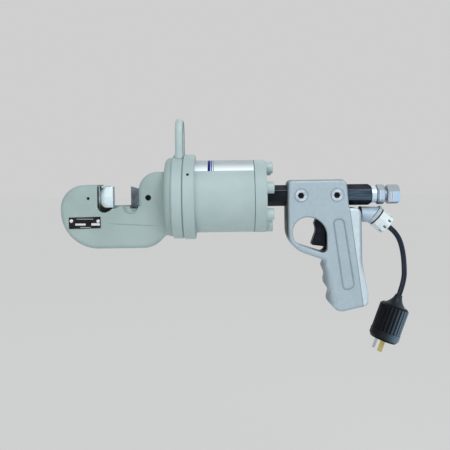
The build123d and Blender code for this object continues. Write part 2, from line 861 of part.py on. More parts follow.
def cap_screws():
    """Socket head screws round the rear cap."""
    head_end = cap_rear_x + cap_screw_head_length
    shank = cylinder_x(cap_screw_radius, barrel_rear_x - cap_screw_grip, cap_rear_x)
    bevel = cap_chamfer
    head = turned(
        (cap_rear_x, 0),
        (cap_rear_x, cap_screw_head_radius),
        (head_end - bevel, cap_screw_head_radius),
        (head_end, cap_screw_head_radius - bevel),
        (head_end, 0),
    )
    socket = hexagon_x(cap_screw_socket, head_end - cap_screw_head_length / 2, head_end)
    screw = Pos(0, 0, cap_screw_circle) * (shank + head - socket)
    return Compound([radial(angle) * screw for angle in cap_screw_angles()])


# Ram, piston and return spring


def ram_rod():
    rod = cylinder_x(ram_radius, ram_nose_x, piston_front_x)
    rod += cylinder_x(ram_spigot_radius, piston_front_x, piston_front_x + ram_spigot_length)
    rod -= cylinder_x(
        shank_radius + seat_gap, ram_nose_x, ram_nose_x + blade_shank_length + free_gap
    )
    rod -= cylinder_x(
        piston_bolt_radius + seat_gap, piston_front_x, piston_front_x + ram_spigot_length
    )
    pin_x = ram_nose_x + blade_pin_setback
    rod -= Pos(pin_x, 0, 0) * Cylinder(blade_pin_radius + seat_gap, 4 * ram_radius)
    slot_half = guide_tip_radius + free_gap
    slot_end = guide_screw_x + stroke
    slot = block(
        guide_screw_x,
        slot_end,
        -ram_radius - cut_past,
        -ram_radius + guide_slot_depth,
        -slot_half,
        slot_half,
    )
    for x in (guide_screw_x, slot_end):
        slot += cylinder_y(slot_half, x, 0, -ram_radius - cut_past, -ram_radius + guide_slot_depth)
    return rod - slot


def moving_blade_in_ram():
    """Moving blade with the cross hole for its pin."""
    pin_x = ram_nose_x + blade_pin_setback
    hole = Pos(pin_x, 0, 0) * Cylinder(blade_pin_radius + seat_gap, 4 * ram_radius)
    return moving_blade() - hole


def blade_pin():
    pin_x = ram_nose_x + blade_pin_setback
    return Pos(pin_x, 0, 0) * Cylinder(blade_pin_radius, 2 * (ram_radius - blade_pin_recess))


def groove_ring(start, width, outer, depth):
    """Ring that fills a groove in the piston with a little room."""
    return turned(
        (start + seat_gap, outer - depth + seat_gap),
        (start + seat_gap, outer),
        (start + width - seat_gap, outer),
        (start + width - seat_gap, outer - depth + seat_gap),
    )


def piston():
    outer = bore_radius - free_gap
    wear_start = piston_front_x + ring_groove_offset
    seal_end = piston_rear_x - ring_groove_offset
    seal_start = seal_end - piston_seal_width
    head_start = piston_rear_x - piston_bolt_head_length - free_gap
    spigot_end = piston_front_x + ram_spigot_length + free_gap
    inner = ram_spigot_radius + seat_gap
    return turned(
        (piston_front_x, inner),
        (piston_front_x, outer),
        (wear_start, outer),
        (wear_start, outer - wear_ring_depth),
        (wear_start + wear_ring_width, outer - wear_ring_depth),
        (wear_start + wear_ring_width, outer),
        (seal_start, outer),
        (seal_start, outer - piston_seal_depth),
        (seal_end, outer - piston_seal_depth),
        (seal_end, outer),
        (piston_rear_x, outer),
        (piston_rear_x, piston_bolt_head_radius + seat_gap),
        (head_start, piston_bolt_head_radius + seat_gap),
        (head_start, piston_bolt_radius + seat_gap),
        (spigot_end, piston_bolt_radius + seat_gap),
        (spigot_end, inner),
    )


def piston_seal():
    start = piston_rear_x - ring_groove_offset - piston_seal_width
    depth = piston_seal_depth + free_gap - running_gap
    return groove_ring(start, piston_seal_width, bore_radius - running_gap, depth)


def piston_wear_ring():
    start = piston_front_x + ring_groove_offset
    depth = wear_ring_depth + free_gap - running_gap
    return groove_ring(start, wear_ring_width, bore_radius - running_gap, depth)


def piston_bolt():
    head_start = piston_rear_x - piston_bolt_head_length - free_gap
    head_end = head_start + piston_bolt_head_length
    bolt = cylinder_x(piston_bolt_radius, piston_front_x + free_gap, head_start)
    bolt += cylinder_x(piston_bolt_head_radius, head_start, head_end)
    return bolt - hexagon_x(piston_bolt_head_radius, head_end - piston_bolt_radius, head_end)


def return_spring():
    return coil_x(
        spring_coil_radius,
        spring_wire_radius,
        ring_front_x + free_gap,
        piston_front_x - free_gap,
        spring_turns,
    )


def guide_bush():
    start = ring_front_x - bush_length
    return turned(
        (start + seat_gap, ram_radius + running_gap),
        (start + seat_gap, ram_radius + bush_wall - seat_gap),
        (ring_front_x, ram_radius + bush_wall - seat_gap),
        (ring_front_x, ram_radius + running_gap),
    )


def rod_wiper():
    start = throat_rear_x + wiper_setback
    return turned(
        (start + seat_gap, ram_radius + running_gap),
        (start + seat_gap, ram_radius + wiper_wall - seat_gap),
        (start + wiper_length - seat_gap, ram_radius + wiper_wall - seat_gap),
        (start + wiper_length - seat_gap, ram_radius + running_gap),
    )


# Feed bar and hose fitting


def feed_bar():
    """Hexagon bar that carries oil to the cylinder and holds the grip."""
    corner = bar_flats / math.sqrt(3)
    body = hexagon_x(bar_flats, cap_rear_x, bar_rear_x)
    body &= turned(
        (cap_rear_x, 0),
        (cap_rear_x, corner),
        (bar_rear_x - bar_chamfer, corner),
        (bar_rear_x, corner - bar_chamfer_depth),
        (bar_rear_x, 0),
    )
    body += cylinder_x(bar_thread_radius, cap_rear_x - bar_thread_length, cap_rear_x)
    body -= cylinder_x(oil_radius, cap_rear_x - bar_thread_length, bar_rear_x)
    return body - cylinder_x(
        adapter_thread_radius + seat_gap, bar_rear_x - adapter_thread_length - free_gap, bar_rear_x
    )


def fitting_hexagon(start, end, turn):
    """Hexagon with both ends turned down to its flats."""
    corner = fitting_flats / math.sqrt(3)
    flat = fitting_flats / 2
    bevel = (corner - flat) * fitting_bevel
    hexagon = Rot(turn, 0, 0) * hexagon_x(fitting_flats, start, end)
    return hexagon & turned(
        (start, 0),
        (start, flat),
        (start + bevel, corner),
        (end - bevel, corner),
        (end, flat),
        (end, 0),
    )


def hose_adapter():
    """Screwed end, collar, hexagon, stem and the head that keeps the swivel nut on."""
    body = cylinder_x(adapter_thread_radius, bar_rear_x - adapter_thread_length, bar_rear_x)
    body += cylinder_x(collar_radius, bar_rear_x, collar_rear_x)
    body += fitting_hexagon(collar_rear_x, adapter_hex_rear_x, 0)
    head_end = swivel_head_x + swivel_head_length
    body += turned(
        (adapter_hex_rear_x, 0),
        (adapter_hex_rear_x, swivel_stem_radius),
        (swivel_head_x, swivel_stem_radius),
        (swivel_head_x, swivel_head_radius),
        (head_end, swivel_head_radius),
        (head_end + swivel_cone_length, swivel_head_radius - swivel_cone_length),
        (head_end + swivel_cone_length, 0),
    )
    start = bar_rear_x - adapter_thread_length
    return body - cylinder_x(adapter_oil_radius, start, head_end + swivel_cone_length)


def swivel_nut():
    """Hexagon nut that turns on the adapter's stem and takes the hose's thread."""
    body = fitting_hexagon(nut_front_x, nut_rear_x, swivel_nut_turn)
    collar_end = nut_front_x + swivel_collar
    relief = hose_thread_radius + thread_relief
    return body - turned(
        (nut_front_x, 0),
        (nut_front_x, swivel_stem_radius + running_gap),
        (collar_end, swivel_stem_radius + running_gap),
        (collar_end, relief),
        (thread_start_x, relief),
        (thread_start_x, hose_thread_radius),
        (nut_rear_x - nut_mouth_chamfer, hose_thread_radius),
        (nut_rear_x, hose_thread_radius + nut_mouth_chamfer),
        (nut_rear_x, 0),
    )


# Pistol grip, cover, trigger and switch


def grip_outline():
    """Side view of the grip with its cover: block, guard, finger grooves, foot and back."""
    return (
        (grip_front_lean, grip_top, block_front_round),
        (block_length, grip_top, block_rear_round),
        (block_length + block_lean, -block_drop, block_foot_round),
        (cover_reach, -block_drop - cover_top_fall, cover_top_round),
        (cover_reach, -cover_back_bend, cover_bend_round),
        (cover_heel_reach, -cover_heel_drop, cover_heel_round),
        (cover_heel_reach - cover_foot_setback, -grip_bottom + cover_foot_rise, cover_foot_round),
        (grip_toe, -grip_bottom, toe_round),
        *[(reach, -notch_drop - drop, radius) for reach, drop, radius in reversed(finger_grooves)],
        (notch_reach, -notch_drop, notch_round),
        (0, -guard_corner_drop, guard_round),
        (0, -guard_top_drop, guard_top_round),
    )


def finger_hole():
    """Hole for the trigger finger, its larger corners sized by the straights between them."""
    fall = math.atan2(finger_hole_back_height - finger_hole_front_height, finger_hole_width)
    low_front_turn = math.pi / 2 - fall
    low_front_run = finger_hole_front_height - finger_hole_top_round - finger_hole_front_flat
    back = finger_hole_front + finger_hole_width
    low_front = -finger_hole_top - finger_hole_front_height
    low_back = -finger_hole_top - finger_hole_back_height
    top_back_round = finger_hole_width - finger_hole_top_round - finger_hole_top_flat
    corners = (
        (finger_hole_front, -finger_hole_top, finger_hole_top_round),
        (back, -finger_hole_top, top_back_round),
        (back, low_back, finger_hole_low_round),
        (finger_hole_front, low_front, low_front_run / math.tan(low_front_turn / 2)),
    )
    return side_plate(corners, 2 * grip_half_width)


def handle_corner(radius):
    """What the rounding takes off: x back from the handle's front line, y out from the mid-plane."""
    near = radius * (1 - math.sqrt(0.5))
    side = grip_half_width
    past = grip_edge_round
    outline = ThreePointArc((0, side - radius), (near, side - near), (radius, side)) + Polyline(
        (radius, side),
        (radius, side + past),
        (-past, side + past),
        (-past, side - radius),
        (0, side - radius),
    )
    return make_face(outline)


def handle_rounding():
    """Cuts that round the handle's finger side, growing from the guard's own rounding."""
    lean = math.radians(handle_lean)
    down = Vector(math.sin(lean), 0, -math.cos(lean))
    back = Vector(math.cos(lean), 0, math.sin(lean))
    top = Vector(handle_front, 0, -notch_drop)
    sections = []
    for run, radius in (
        (0, grip_edge_round),
        (handle_round_run, handle_round),
        (grip_bottom, handle_round),
    ):
        sections.append(Plane(origin=top + down * run, x_dir=back, z_dir=down) * handle_corner(radius))
    near = loft(sections, ruled=True)
    return [near, mirror(near, about=Plane.XZ)]


def cavity_back(drop):
    """Inside of the cover's back wall at a depth below the ram axis."""
    if drop <= cover_back_bend:
        return cover_reach - cover_wall
    slope = (cover_heel_reach - cover_reach) / (cover_heel_drop - cover_back_bend)
    return cover_reach - cover_wall + slope * (drop - cover_back_bend)


def grip_cavity():
    """Hollow for the switch and the leads, open at the joint with the cover."""
    cavity_bottom = grip_bottom - cavity_floor
    corners = (
        (cavity_front, -cavity_top, cavity_corner),
        (cavity_back(cavity_top), -cavity_top, cavity_corner),
        (cavity_back(cover_back_bend), -cover_back_bend, 0),
        (cavity_back(cavity_bottom), -cavity_bottom, cavity_corner),
        (cavity_front + cavity_foot_setback, -cavity_bottom, cavity_corner),
        (cavity_front, -cavity_front_drop, 0),
    )
    return side_plate(corners, cavity_half_width)


def inside(edge, space):
    """Whether an edge lies within the height and length of a space."""
    box = edge.bounding_box()
    past = 0.1
    return (
        box.min.X > space.min.X - past
        and box.max.X < space.max.X + past
        and box.min.Z > space.min.Z - past
        and box.max.Z < space.max.Z + past
    )


def grip_shell():
    """Grip and cover as one hollow casting, before they are parted at the joint line."""
    body = side_plate(grip_outline(), grip_half_width)
    body = fillet(rim_edges(body, grip_half_width), grip_edge_round)
    hole = finger_hole()
    body -= hole
    rim = [edge for edge in rim_edges(body, grip_half_width) if inside(edge, hole.bounding_box())]
    body = fillet(rim, finger_hole_rim_round)
    return body - handle_rounding() - grip_cavity()


def joint_reach(drop):
    """Joint line between grip and cover at a depth below the ram axis."""
    top = block_length + block_lean
    return top + joint_fall * (drop - block_drop) / (grip_bottom - block_drop)


def cover_space(gap):
    """Everything behind the joint line, moved back by a gap."""
    past = grip_bottom + cut_past
    corners = (
        (joint_reach(block_drop) + gap, -block_drop, 0),
        (joint_reach(past) + gap, -past, 0),
        (cover_heel_reach + cut_past, -past, 0),
        (cover_heel_reach + cut_past, -block_drop, 0),
    )
    return side_plate(corners, 2 * grip_half_width)


def trigger_slot():
    """Slot round the trigger, from the finger hole into the cavity."""
    half = trigger_half_width + slot_gap
    return block(
        pivot_reach - slot_front_reach,
        cavity_front + half,
        -half,
        half,
        -pivot_drop - slot_drop,
        -pivot_drop + slot_rise,
    )


def cover_screw_seat(drop):
    """Outer face of the cover under a screw head."""
    return cavity_back(drop) + cover_wall - cover_screw_head_length


def cover_screw_holes(radius):
    """Round holes along X for the cover's screws, through to the threads in the grip."""
    holes = []
    for drop in cover_screw_drops:
        end = cover_screw_seat(drop)
        holes.append(cylinder_x(radius, end - cover_screw_length - free_gap, end, z=-drop))
        holes.append(cylinder_x(cover_screw_head_radius + seat_gap, end, cover_heel_reach, z=-drop))
    return holes


def web_front():
    """Front of the web that holds the upper cover screw's thread."""
    return cover_screw_seat(cover_screw_drop) - cover_screw_length - free_gap - web_floor


def grip_casting(shell):
    body = shell - cover_space(0) - trigger_slot()
    body += block(
        web_front(),
        joint_reach(cover_screw_drop) - web_recess,
        -cavity_half_width - cut_past,
        cavity_half_width + cut_past,
        -cover_screw_drop - web_half_height,
        -cover_screw_drop + web_half_height,
    )
    body -= cover_screw_holes(cover_screw_radius + seat_gap)
    near = -grip_half_width - clamp_screw_proud - cut_past
    for x in clamp_screw_reach():
        body -= cylinder_y(clamp_screw_radius + seat_gap, x, 0, near, 0)
        body -= cylinder_y(spotface_radius, x, 0, near, -grip_half_width + spotface_depth)
    pin_start = -cavity_half_width - cut_past
    pin_end = grip_half_width + cut_past
    body -= cylinder_y(pivot_radius + running_gap, pivot_reach, -pivot_drop, pin_start, pin_end)
    body = at_grip(body)
    return body - hexagon_x(bar_flats + 2 * seat_gap, cap_rear_x, bar_rear_x)


def grip_cover(shell):
    body = shell & cover_space(cover_gap)
    boss_end = cavity_back(cover_screw_drop) + cut_past
    boss_start = joint_reach(cover_screw_drop) + cover_gap + web_recess
    body += cylinder_x(screw_boss_radius, boss_start, boss_end, z=-cover_screw_drop)
    body -= cover_screw_holes(cover_screw_radius + seat_gap)
    body -= cylinder_x(
        connector_spigot_radius + seat_gap,
        cavity_back(connector_drop) - connector_spigot_proud - cut_past,
        cover_reach + cut_past,
        z=-connector_drop,
    )
    return at_grip(body)


def cover_screws():
    screws = []
    for drop in cover_screw_drops:
        seat = cover_screw_seat(drop)
        screw = cylinder_x(cover_screw_radius, seat - cover_screw_length, seat, z=-drop)
        screw += cylinder_x(cover_screw_head_radius, seat, seat + cover_screw_head_length - free_gap, z=-drop)
        screws.append(at_grip(screw))
    return Compound(screws)


def clamp_screw_reach():
    """Places of the two clamp screws along the grip's block."""
    return (clamp_screw_first, block_length - clamp_screw_last)


def clamp_screws():
    """Socket set screws that press on the feed bar's flat."""
    mouth = -grip_half_width - clamp_screw_proud
    screws = []
    for x in clamp_screw_reach():
        screw = cylinder_y(clamp_screw_radius, x, 0, mouth, -bar_flats / 2)
        screw -= socket_y(clamp_screw_socket, x, 0, mouth, clamp_screw_socket_depth)
        screws.append(at_grip(screw))
    return Compound(screws)


def trigger():
    """Curved trigger that turns on its pin at the top and presses the switch with its nose."""
    corners = (
        *trigger_front,
        (trigger_depth, -trigger_foot_drop, trigger_foot_round),
        (trigger_depth, trigger_front[0][1], trigger_head_round),
    )
    body = side_plate(corners, trigger_half_width)
    body = chamfer(rim_edges(body, trigger_half_width), trigger_bevel)
    body += cylinder_y(
        trigger_nose_radius,
        trigger_depth + trigger_nose_step,
        -trigger_nose_drop,
        -trigger_nose_radius,
        trigger_nose_radius,
    )
    body -= cylinder_y(pivot_radius + running_gap, 0, 0, -2 * trigger_half_width, 2 * trigger_half_width)
    return at_grip(Pos(pivot_reach, 0, -pivot_drop) * body)


def trigger_pin():
    return at_grip(
        cylinder_y(pivot_radius, pivot_reach, -pivot_drop, -cavity_half_width, grip_half_width - free_gap)
    )


def switch_body():
    half = cavity_half_width - cover_gap
    top = -pivot_drop - switch_top_drop
    body = block(switch_front, web_front() - free_gap, -half, half, top - switch_height, top)
    body -= cylinder_x(
        plunger_radius + running_gap,
        switch_front,
        switch_front + switch_bore_depth,
        z=-pivot_drop - trigger_nose_drop,
    )
    return at_grip(body)


def switch_plunger():
    tip = trigger_back + trigger_nose_step + trigger_nose_radius + free_gap
    return at_grip(cylinder_x(plunger_radius, tip, tip + plunger_length, z=-pivot_drop - trigger_nose_drop))


def trigger_spring():
    coil = coil_x(
        trigger_spring_radius,
        trigger_wire_radius,
        trigger_back + free_gap,
        switch_front - free_gap,
        trigger_spring_turns,
        z=-pivot_drop - trigger_spring_drop,
    )
    return at_grip(coil)


# Cord connector, cord and plug


def connector_frame():
    """Bend point and direction of the connector's arm."""
    bend = Vector(grip_front_x + cover_reach + connector_run, 0, -connector_drop)
    angle = math.radians(connector_bend_angle)
    return bend, Vector(math.cos(angle), 0, -math.sin(angle))


def collar_face():
    """Centre of the connector's end face."""
    bend, along = connector_frame()
    return bend + along * connector_arm


def gland_start():
    _, along = connector_frame()
    return collar_face() + along * connector_seal_thickness


def gland_end():
    _, along = connector_frame()
    return gland_start() + along * gland_length


def arm_plane(origin):
    """Plane across the connector's arm, its Z along the arm."""
    _, along = connector_frame()
    return Plane(origin=origin, x_dir=(0, 1, 0), z_dir=along)


def cord_connector():
    """Angled body that widens from a screwed spigot in the cover to a collar under the gland nut."""
    _, along = connector_frame()
    back = grip_front_x + cover_reach + connector_seal_thickness
    root = Plane(origin=(back, 0, -connector_drop), x_dir=(0, 1, 0), z_dir=(1, 0, 0))
    collar = arm_plane(collar_face() - along * connector_collar_length)
    body = loft([root * Circle(connector_radius), collar * Circle(connector_collar_radius)], ruled=True)
    body += collar * upright(connector_collar_radius, connector_collar_length)
    bore_depth = gland_spigot_length + free_gap
    bore = upright(gland_spigot_radius + seat_gap, bore_depth)
    body -= arm_plane(collar_face() - along * bore_depth) * bore
    spigot_end = grip_front_x + cavity_back(connector_drop) - connector_spigot_proud
    return body + cylinder_x(connector_spigot_radius, spigot_end, back, z=-connector_drop)


def connector_seal():
    """Rubber ring between the cover and the connector."""
    start = grip_front_x + cover_reach
    end = start + connector_seal_thickness
    body = cylinder_x(connector_radius + connector_seal_proud, start, end, z=-connector_drop)
    return body - cylinder_x(connector_spigot_radius + seat_gap, start, end, z=-connector_drop)


def gland_seal():
    """Rubber ring between the connector's collar and the gland nut."""
    body = upright(connector_collar_radius - connector_seal_recess, connector_seal_thickness)
    body -= upright(gland_spigot_radius + seat_gap, connector_seal_thickness)
    return arm_plane(collar_face()) * body


def gland_nut():
    """Faceted nut with spanner notches, a bevelled end round the grommet and a screwed spigot."""
    body = extrude(RegularPolygon(gland_radius, gland_sides), gland_length)
    bevelled = upright(gland_radius, gland_length - gland_dome)
    bevelled += Pos(0, 0, gland_length - gland_dome) * Cone(
        gland_radius, gland_radius - gland_dome, gland_dome, align=(Align.CENTER, Align.CENTER, Align.MIN)
    )
    body &= bevelled
    flat = gland_radius * math.cos(math.pi / gland_sides)
    notch = block(
        flat - gland_notch_depth,
        gland_radius + cut_past,
        -gland_notch_width / 2,
        gland_notch_width / 2,
        gland_length - gland_notch_length,
        gland_length + cut_past,
    )
    step = 360 / gland_sides
    body -= [Rot(0, 0, step * (i + 0.5)) * notch for i in range(gland_sides)]
    bore = Pos(0, 0, gland_length - grommet_length) * upright(grommet_radius + seat_gap, grommet_length)
    spigot_length = gland_spigot_length + connector_seal_thickness
    spigot = Pos(0, 0, -spigot_length) * upright(gland_spigot_radius, spigot_length)
    return arm_plane(gland_start()) * (body - bore + spigot)


def gland_grommet():
    _, along = connector_frame()
    return arm_plane(gland_end() - along * grommet_length) * upright(grommet_radius, grommet_length)


def plug_direction():
    angle = math.radians(plug_tilt)
    return Vector(-math.sin(angle), 0, -math.cos(angle))


def cord_route():
    """Route of the cord from the gland to the plug's clamp."""
    middle = [Vector(x, 0, z) for x, z in cord_points]
    _, along = connector_frame()
    start = gland_end()
    last = middle[-1] + plug_direction() * cord_last_run
    return [start, start + along * cord_first_run] + middle + [last]


def supply_cord():
    """Round cord along straight runs joined by arcs as large as the runs allow."""
    route = cord_route()
    radii = []
    for i in range(1, len(route) - 1):
        before = route[i] - route[i - 1]
        after = route[i + 1] - route[i]
        turn = math.radians(before.get_angle(after))
        run = cord_arc_share * min(before.length, after.length)
        radii.append(run / math.tan(turn / 2))
    path = FilletPolyline(*route, radius=radii)
    cord = sweep(Plane(origin=route[0], z_dir=route[1] - route[0]) * Circle(cord_radius), path=path)
    print("cord radii", [round(radius, 1) for radius in radii], "length", round(path.length, 1))
    print("cord volume ratio", round(cord.volume / (math.pi * cord_radius**2 * path.length), 4))
    return cord


def plug_plane(distance):
    """Plane across the plug's axis at a distance below the clamp's top, its Z towards the blades."""
    along = plug_direction()
    origin = cord_route()[-1] + along * distance
    return Plane(origin=origin, x_dir=(0, 1, 0), z_dir=along)


def plug_clamp():
    """Moulded sleeve that widens in a hollow curve from the cord to the plug."""
    top = (plug_clamp_top_radius, 0)
    foot = (plug_clamp_foot_radius, plug_clamp_length)
    flare = ThreePointArc(top, plug_clamp_middle, foot)
    outline = flare + Polyline(foot, (0, plug_clamp_length), (0, 0), top)
    return plug_plane(0) * revolve(Plane.XZ * make_face(outline), Axis.Z)


def plug_shell():
    """Fluted hand grip of the plug with a smooth band at its end and a recess for its face."""
    inset, slope = plug_band_bevel
    band_start = plug_shell_length - plug_band_length
    half = make_face(
        Polyline(
            (0, 0),
            (plug_shell_radius - plug_shoulder, 0),
            (plug_shell_radius, plug_shoulder),
            (plug_shell_radius, band_start),
            (plug_band_radius, band_start),
            (plug_band_radius, plug_shell_length - slope),
            (plug_band_radius - inset, plug_shell_length),
            (0, plug_shell_length),
            close=True,
        )
    )
    body = revolve(Plane.XZ * half, Axis.Z)
    flute = Pos(plug_shell_radius, 0, 0) * upright(plug_flute_radius, band_start)
    step = 360 / plug_flute_count
    body -= [Rot(0, 0, step * i) * flute for i in range(plug_flute_count)]
    recess = plug_face_length - plug_face_proud
    body -= Pos(0, 0, plug_shell_length - recess) * upright(plug_face_radius + seat_gap, recess)
    return plug_plane(plug_clamp_length) * body


def plug_face_plane():
    """Plane of the plug's front face."""
    return plug_plane(plug_clamp_length + plug_shell_length + plug_face_proud)


def blade_places():
    """Place and turn of each contact blade on the plug's face."""
    return [Rot(0, 0, angle) * Pos(plug_blade_circle, 0) for angle in plug_blade_angles]


def contact(clearance):
    """Flat contact blade standing on the plug's face, its root inside it."""
    width = plug_blade_width + 2 * clearance
    thickness = plug_blade_thickness + 2 * clearance
    blade = extrude(Rectangle(thickness, width), plug_blade_length)
    return blade + extrude(Rectangle(thickness, width), -plug_blade_root - clearance)


def plug_face():
    low = (Align.CENTER, Align.CENTER, Align.MAX)
    body = Cylinder(plug_face_radius, plug_face_length, align=low)
    for place in blade_places():
        body -= place * contact(seat_gap)
    return plug_face_plane() * body


def plug_blade_brass():
    return plug_face_plane() * (blade_places()[0] * contact(0))


def plug_blade_nickel():
    return plug_face_plane() * (blade_places()[1] * contact(0))


def lowered(shape):
    """A shape's solids in the frame whose origin is the bail's crown."""
    solids = [Pos(0, 0, -hang_height) * solid for solid in shape.solids()]
    return solids[0] if len(solids) == 1 else Compound(solids)


def write_parts():
    shell = grip_shell()
    parts = {
        "jaw_frame": jaw_frame(),
        "fixed_blade": fixed_blade(),
        "blade_seat": blade_seat(),
        "blade_set_screw": blade_set_screw(),
        "moving_blade": moving_blade_in_ram(),
        "ram_guide_screw": ram_guide_screw(),
        "nameplate": nameplate(),
        "nameplate_rivets": nameplate_rivets(),
        "bail_ring": bail_ring(),
        "suspension_bail": suspension_bail(),
        "lock_ring": lock_ring(),
        "lock_ring_screw": lock_ring_screw(),
        "cylinder_barrel": cylinder_barrel(),
        "barrel_label": barrel_label(),
        "rear_cap": rear_cap(),
        "cap_seal": cap_seal(),
        "cap_screws": cap_screws(),
        "ram_rod": ram_rod(),
        "blade_pin": blade_pin(),
        "piston": piston(),
        "piston_seal": piston_seal(),
        "piston_wear_ring": piston_wear_ring(),
        "piston_bolt": piston_bolt(),
        "return_spring": return_spring(),
        "guide_bush": guide_bush(),
        "rod_wiper": rod_wiper(),
        "feed_bar": feed_bar(),
        "hose_adapter": hose_adapter(),
        "swivel_nut": swivel_nut(),
        "grip_casting": grip_casting(shell),
        "grip_cover": grip_cover(shell),
        "cover_screws": cover_screws(),
        "clamp_screws": clamp_screws(),
        "trigger": trigger(),
        "trigger_pin": trigger_pin(),
        "trigger_spring": trigger_spring(),
        "switch_body": switch_body(),
        "switch_plunger": switch_plunger(),
        "cord_connector": cord_connector(),
        "connector_seal": connector_seal(),
        "gland_seal": gland_seal(),
        "gland_nut": gland_nut(),
        "gland_grommet": gland_grommet(),
        "supply_cord": supply_cord(),
        "plug_clamp": plug_clamp(),
        "plug_shell": plug_shell(),
        "plug_face": plug_face(),
        "plug_blade_brass": plug_blade_brass(),
        "plug_blade_nickel": plug_blade_nickel(),
    }
    os.makedirs("parts", exist_ok=True)
    for name, shape in parts.items():
        export_step(lowered(shape), f"parts/{name}.step")


write_parts()
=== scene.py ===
import json
import math

import bmesh
import bpy
from mathutils import Matrix, Vector


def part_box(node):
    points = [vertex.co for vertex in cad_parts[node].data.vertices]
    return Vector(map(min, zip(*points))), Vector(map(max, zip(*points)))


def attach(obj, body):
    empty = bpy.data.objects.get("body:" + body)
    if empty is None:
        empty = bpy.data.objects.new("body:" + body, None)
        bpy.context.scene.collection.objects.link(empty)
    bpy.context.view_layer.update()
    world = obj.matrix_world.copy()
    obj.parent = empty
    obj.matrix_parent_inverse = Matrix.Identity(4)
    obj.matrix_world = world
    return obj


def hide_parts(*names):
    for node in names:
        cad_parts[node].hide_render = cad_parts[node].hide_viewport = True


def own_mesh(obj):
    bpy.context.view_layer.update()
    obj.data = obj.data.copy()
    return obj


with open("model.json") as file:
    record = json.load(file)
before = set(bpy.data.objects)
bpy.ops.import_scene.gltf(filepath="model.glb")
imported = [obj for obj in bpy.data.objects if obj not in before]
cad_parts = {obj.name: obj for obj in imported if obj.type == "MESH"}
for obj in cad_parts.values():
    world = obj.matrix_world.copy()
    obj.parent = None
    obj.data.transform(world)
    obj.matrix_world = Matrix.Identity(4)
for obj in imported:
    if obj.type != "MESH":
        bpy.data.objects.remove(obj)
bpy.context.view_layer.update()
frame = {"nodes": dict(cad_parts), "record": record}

scene = bpy.context.scene
nodes = frame["nodes"]

# Sizes that the pieces below share with the solids: millimetres from the ram axis, degrees and slopes
hang_height = 98.4
jaw_half_width = 25
plate_centre = -129.0
plate_level = -33
plate_tilt = 0.9
bail_ring_radius = 58
bail_half_span = 17
bail_foot_radius = 7.7
ring_joint = (5.0, 5.7)
cap_joint = (101.8, 102.5)
cap_rear = 118.3
cap_screw_circle = 42
cap_screw_first_angle = 22
bar_half_flat = 7.3
grip_front = 146.2
grip_half_width = 19.5
clamp_screw_first = grip_front + 20
clamp_screw_step = 49.4
cover_joint_top = (232.5, -17)
cover_joint_slope = 0.1252
groove_top = (grip_front + 47.9, -90)
groove_slope = 0.1352
cover_bend = (249.6, -92)
cover_slope = 0.14
return_wire = 2.5
trigger_wire = 0.4
hose_collar_end = 272.4
connector_face = (273.019, 0, -30.124)
connector_bend = 41
cord_radius = 3.6
plug_face = (280.214, 0, -203.102)
plug_lean = 21


def level(z):
    """Height in the frame's metres of a level given in millimetres from the ram axis."""
    return (z - hang_height) / 1000


def at(x, y, z):
    """Point of the shear, given in millimetres from the ram axis, in the frame's metres."""
    return Vector((x / 1000, y / 1000, level(z)))


def colour(red, green, blue):
    """Colour given as it looks on a screen, 0 to 255, made linear."""
    channels = []
    for value in (red, green, blue):
        share = value / 255
        channels.append(share / 12.92 if share <= 0.04045 else ((share + 0.055) / 1.055) ** 2.4)
    return (*channels, 1)


# Camera at the photograph's place
def set_camera():
    camera = bpy.data.cameras.new("camera")
    camera.lens = 50.4
    camera.sensor_width = 36
    camera.shift_x = 0.0013
    camera.shift_y = -0.1
    holder = bpy.data.objects.new("camera", camera)
    holder.location = (0.0616, -0.882, -0.0756)
    holder.rotation_euler = (math.radians(90), math.radians(0.77), 0)
    scene.collection.objects.link(holder)
    scene.camera = holder


# Sums in node trees
def tree_maths(tree, operation, first, second=0):
    """Sum, product or the like of two values, each a number or a socket of the tree."""
    node = tree.nodes.new("ShaderNodeMath")
    node.operation = operation
    for socket, value in zip(node.inputs, (first, second)):
        if isinstance(value, (int, float)):
            socket.default_value = value
        else:
            tree.links.new(value, socket)
    return node.outputs["Value"]


